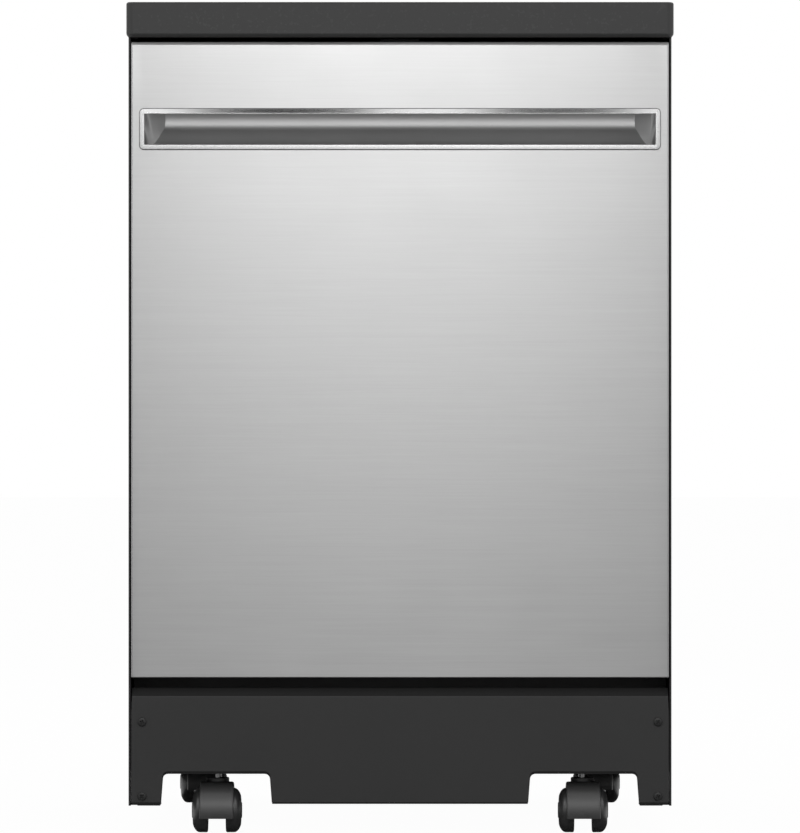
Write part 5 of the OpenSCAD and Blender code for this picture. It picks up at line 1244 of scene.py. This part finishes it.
# door springs: a coil on a rod, hooked to a post
spring = Sizes(x=0.2675, z=0.0915, radius=0.007, wire=0.001, start=-0.209, end=-0.055, turns=30, facets=12, cap=0.003,
               postY=0.001)
coils, steps = [], spring.turns * spring.facets
bm = bmesh.new()
for x in (-spring.x, spring.x):
    points = []
    for i in range(steps + 1):
        turn, place = math.tau * i / spring.facets, spring.start + (spring.end - spring.start) * i / steps
        points.append((x + math.cos(turn) * spring.radius, place, spring.z + math.sin(turn) * spring.radius))
    coils.append((points, False, 1.0))
    turned(bm, [(0, -0.2535), (0.0015, -0.2535), (0.0015, 0.005), (0, 0.005)], (x, 0, spring.z), "y", 12)
    for y in (spring.start - spring.cap, spring.end):
        turned(bm, disc(0.008, y, y + spring.cap), (x, 0, spring.z), "y", 24)
    post = [(0, 0.0716), (0.004, 0.0716), (0.004, 0.0965), (0.0034, 0.0975), (0, 0.0975)]
    turned(bm, post, (x, spring.postY, 0), "z", 20)
wires("doorSpringCoils", "cabinet", "zinc", ["door_springs"], coils, spring.wire, 1)
piece(bm, "doorSpringRods", "cabinet", "zinc", ["door_springs"], flat=False)

hinge = Sizes(pivot=(0, -0.298, 0.212), collar=0.0052, collars=((0.2897, 0.2914), (0.2987, 0.3012)), pin=0.004)
bm = bmesh.new()
r = hinge.collar
for sign in (-1, 1):
    for inner, outer in hinge.collars:
        collar = [(0, inner), (r - 0.0004, inner), (r, inner + 0.0004), (r, outer - 0.0004), (r - 0.0006, outer),
                  (0, outer)]
        turned(bm, sided(collar, sign), hinge.pivot, "x", 24)
    pin = [(0, 0.29), (hinge.pin, 0.29), (hinge.pin, 0.301), (0, 0.301)]
    turned(bm, sided(pin, sign), hinge.pivot, "x", 24)
piece(bm, "hingePins", "cabinet", "zinc", ["hinge_pins"], flat=False)
print("base and hinges shaped")
# the photograph's viewpoint: level, straight on, from far off
view = Sizes(distance=7.593, height=0.4728, lens=276.9, sensor=36.0, farthest=60)
camera = placed("camera", bpy.data.cameras.new("camera"))
camera.location = (0, -view.distance, view.height)
camera.rotation_euler = (math.pi / 2, 0, 0)
camera.data.lens, camera.data.sensor_width, camera.data.clip_end = view.lens, view.sensor, view.farthest
bpy.context.scene.camera = camera
bpy.context.scene.view_settings.view_transform = "Standard"


def seenDirectly(graph):  # 1 for rays from the camera, a mirror or glass, 0 for light that is passed on
    path = graph.node("ShaderNodeLightPath")
    rays = path["Is Camera Ray"] + path["Is Glossy Ray"] + path["Is Transmission Ray"]
    return rays > 0.5


def paintGraph(name):
    paint = bpy.data.materials.new(name)
    paint.use_nodes = True
    return paint, Graph(paint.node_tree)


def studioPiece(bm, name, paint):
    mesh = meshFrom(bm, name)
    mesh.materials.append(paint)
    made = placed(name, mesh)
    return made


studio = Sizes(fill=0.62, floorDark=tone(228), floorLight=tone(236), floorRough=0.9, floorSpeck=0.02, floorGlow=0.975,
               floorSpan=60.0)
world = bpy.data.worlds.new("studio")
world.use_nodes = True
bpy.context.scene.world = world
sky = Graph(world.node_tree)
fill = (studio.fill,) * 3 + (1.0,)
backdrop = world.node_tree.nodes["Background"]
sky.feed(backdrop.inputs["Color"], sky.blend(seenDirectly(sky), fill, (1.0, 1.0, 1.0, 1.0)))

floorPaint, ground = paintGraph("studio floor")
matte = floorPaint.node_tree.nodes["Principled BSDF"]
speckled = ground.blend(ground.noise(studio.floorSpeck) * 0.3, studio.floorLight, studio.floorDark)
ground.feed(matte.inputs["Base Color"], speckled)
matte.inputs["Roughness"].default_value = studio.floorRough
glow = ground.node("ShaderNodeEmission", {}, {"Color": (1, 1, 1, 1), "Strength": 1.0})
share = seenDirectly(ground) * studio.floorGlow
mixed = ground.node("ShaderNodeMixShader", {}, {0: share, 1: Wire(ground, matte.outputs[0]), 2: glow})
ground.feed(floorPaint.node_tree.nodes["Material Output"].inputs["Surface"], mixed)
bm = bmesh.new()
bmesh.ops.create_grid(bm, x_segments=1, y_segments=1, size=studio.floorSpan / 2)
studioPiece(bm, "studioFloor", floorPaint)


def lamp(name, place, aim, size, power):
    light = bpy.data.lights.new(name, "AREA")
    light.shape, light.size, light.size_y, light.energy = "RECTANGLE", size[0], size[1], power
    made = placed(name, light)
    made.location = place
    made.visible_camera = False
    made.rotation_euler = (Vector(aim) - Vector(place)).to_track_quat("-Z", "Y").to_euler()


# a dark card that only polished and brushed metal sees, as a photographer stands one before a steel front
def card(name, low, high, level):
    bm = bmesh.new()
    made = bmesh.ops.create_grid(bm, x_segments=1, y_segments=1, size=0.5)["verts"]
    bmesh.ops.scale(bm, vec=(high[0] - low[0], high[1] - low[1], 1), verts=made)
    bmesh.ops.translate(bm, vec=((low[0] + high[0]) / 2, (low[1] + high[1]) / 2, low[2]), verts=made)
    paint, tree = paintGraph(name)
    shine = tree.node("ShaderNodeEmission", {}, {"Color": (level, level, level, 1), "Strength": 1.0})
    tree.feed(paint.node_tree.nodes["Material Output"].inputs["Surface"], shine)
    made = studioPiece(bm, name, paint)
    made.visible_camera = made.visible_diffuse = made.visible_shadow = made.visible_transmission = False


card("handleCardLeft", (-0.295, -2.9, 2.2), (-0.045, -0.9, 2.2), 0.0)
card("handleCardRight", (0.125, -2.9, 2.2), (0.33, -0.9, 2.2), 0.0)
card("floorCardNear", (-1.25, -1.5, 0.001), (1.25, -0.36, 0.001), 0.17)
card("floorCardFar", (-1.25, -4.6, 0.001), (1.25, -1.5, 0.001), 0.0)
# painted shade: a near-black sheet under the cabinet, seen only in reflections, stands in for the shade on the floor
# there
card("shadeCard", (-0.29, -0.36, 0.0008), (0.29, 0.32, 0.0008), 0.02)
lamp("front softbox", (-0.01, -2.9, 1.43), (0, -0.3, 0.95), (0.85, 0.75), 13.0)
lamp("left softbox", (-3.4, -2.4, 2.4), (0, 0, 0.5), (1.8, 1.8), 22)
lamp("right softbox", (3.4, -2.0, 2.4), (0, 0, 0.5), (1.8, 1.8), 20)
lamp("rear softbox", (0.8, 3.4, 2.6), (0, 0, 0.5), (2.2, 1.6), 30)
print("camera, floor and lamps set")
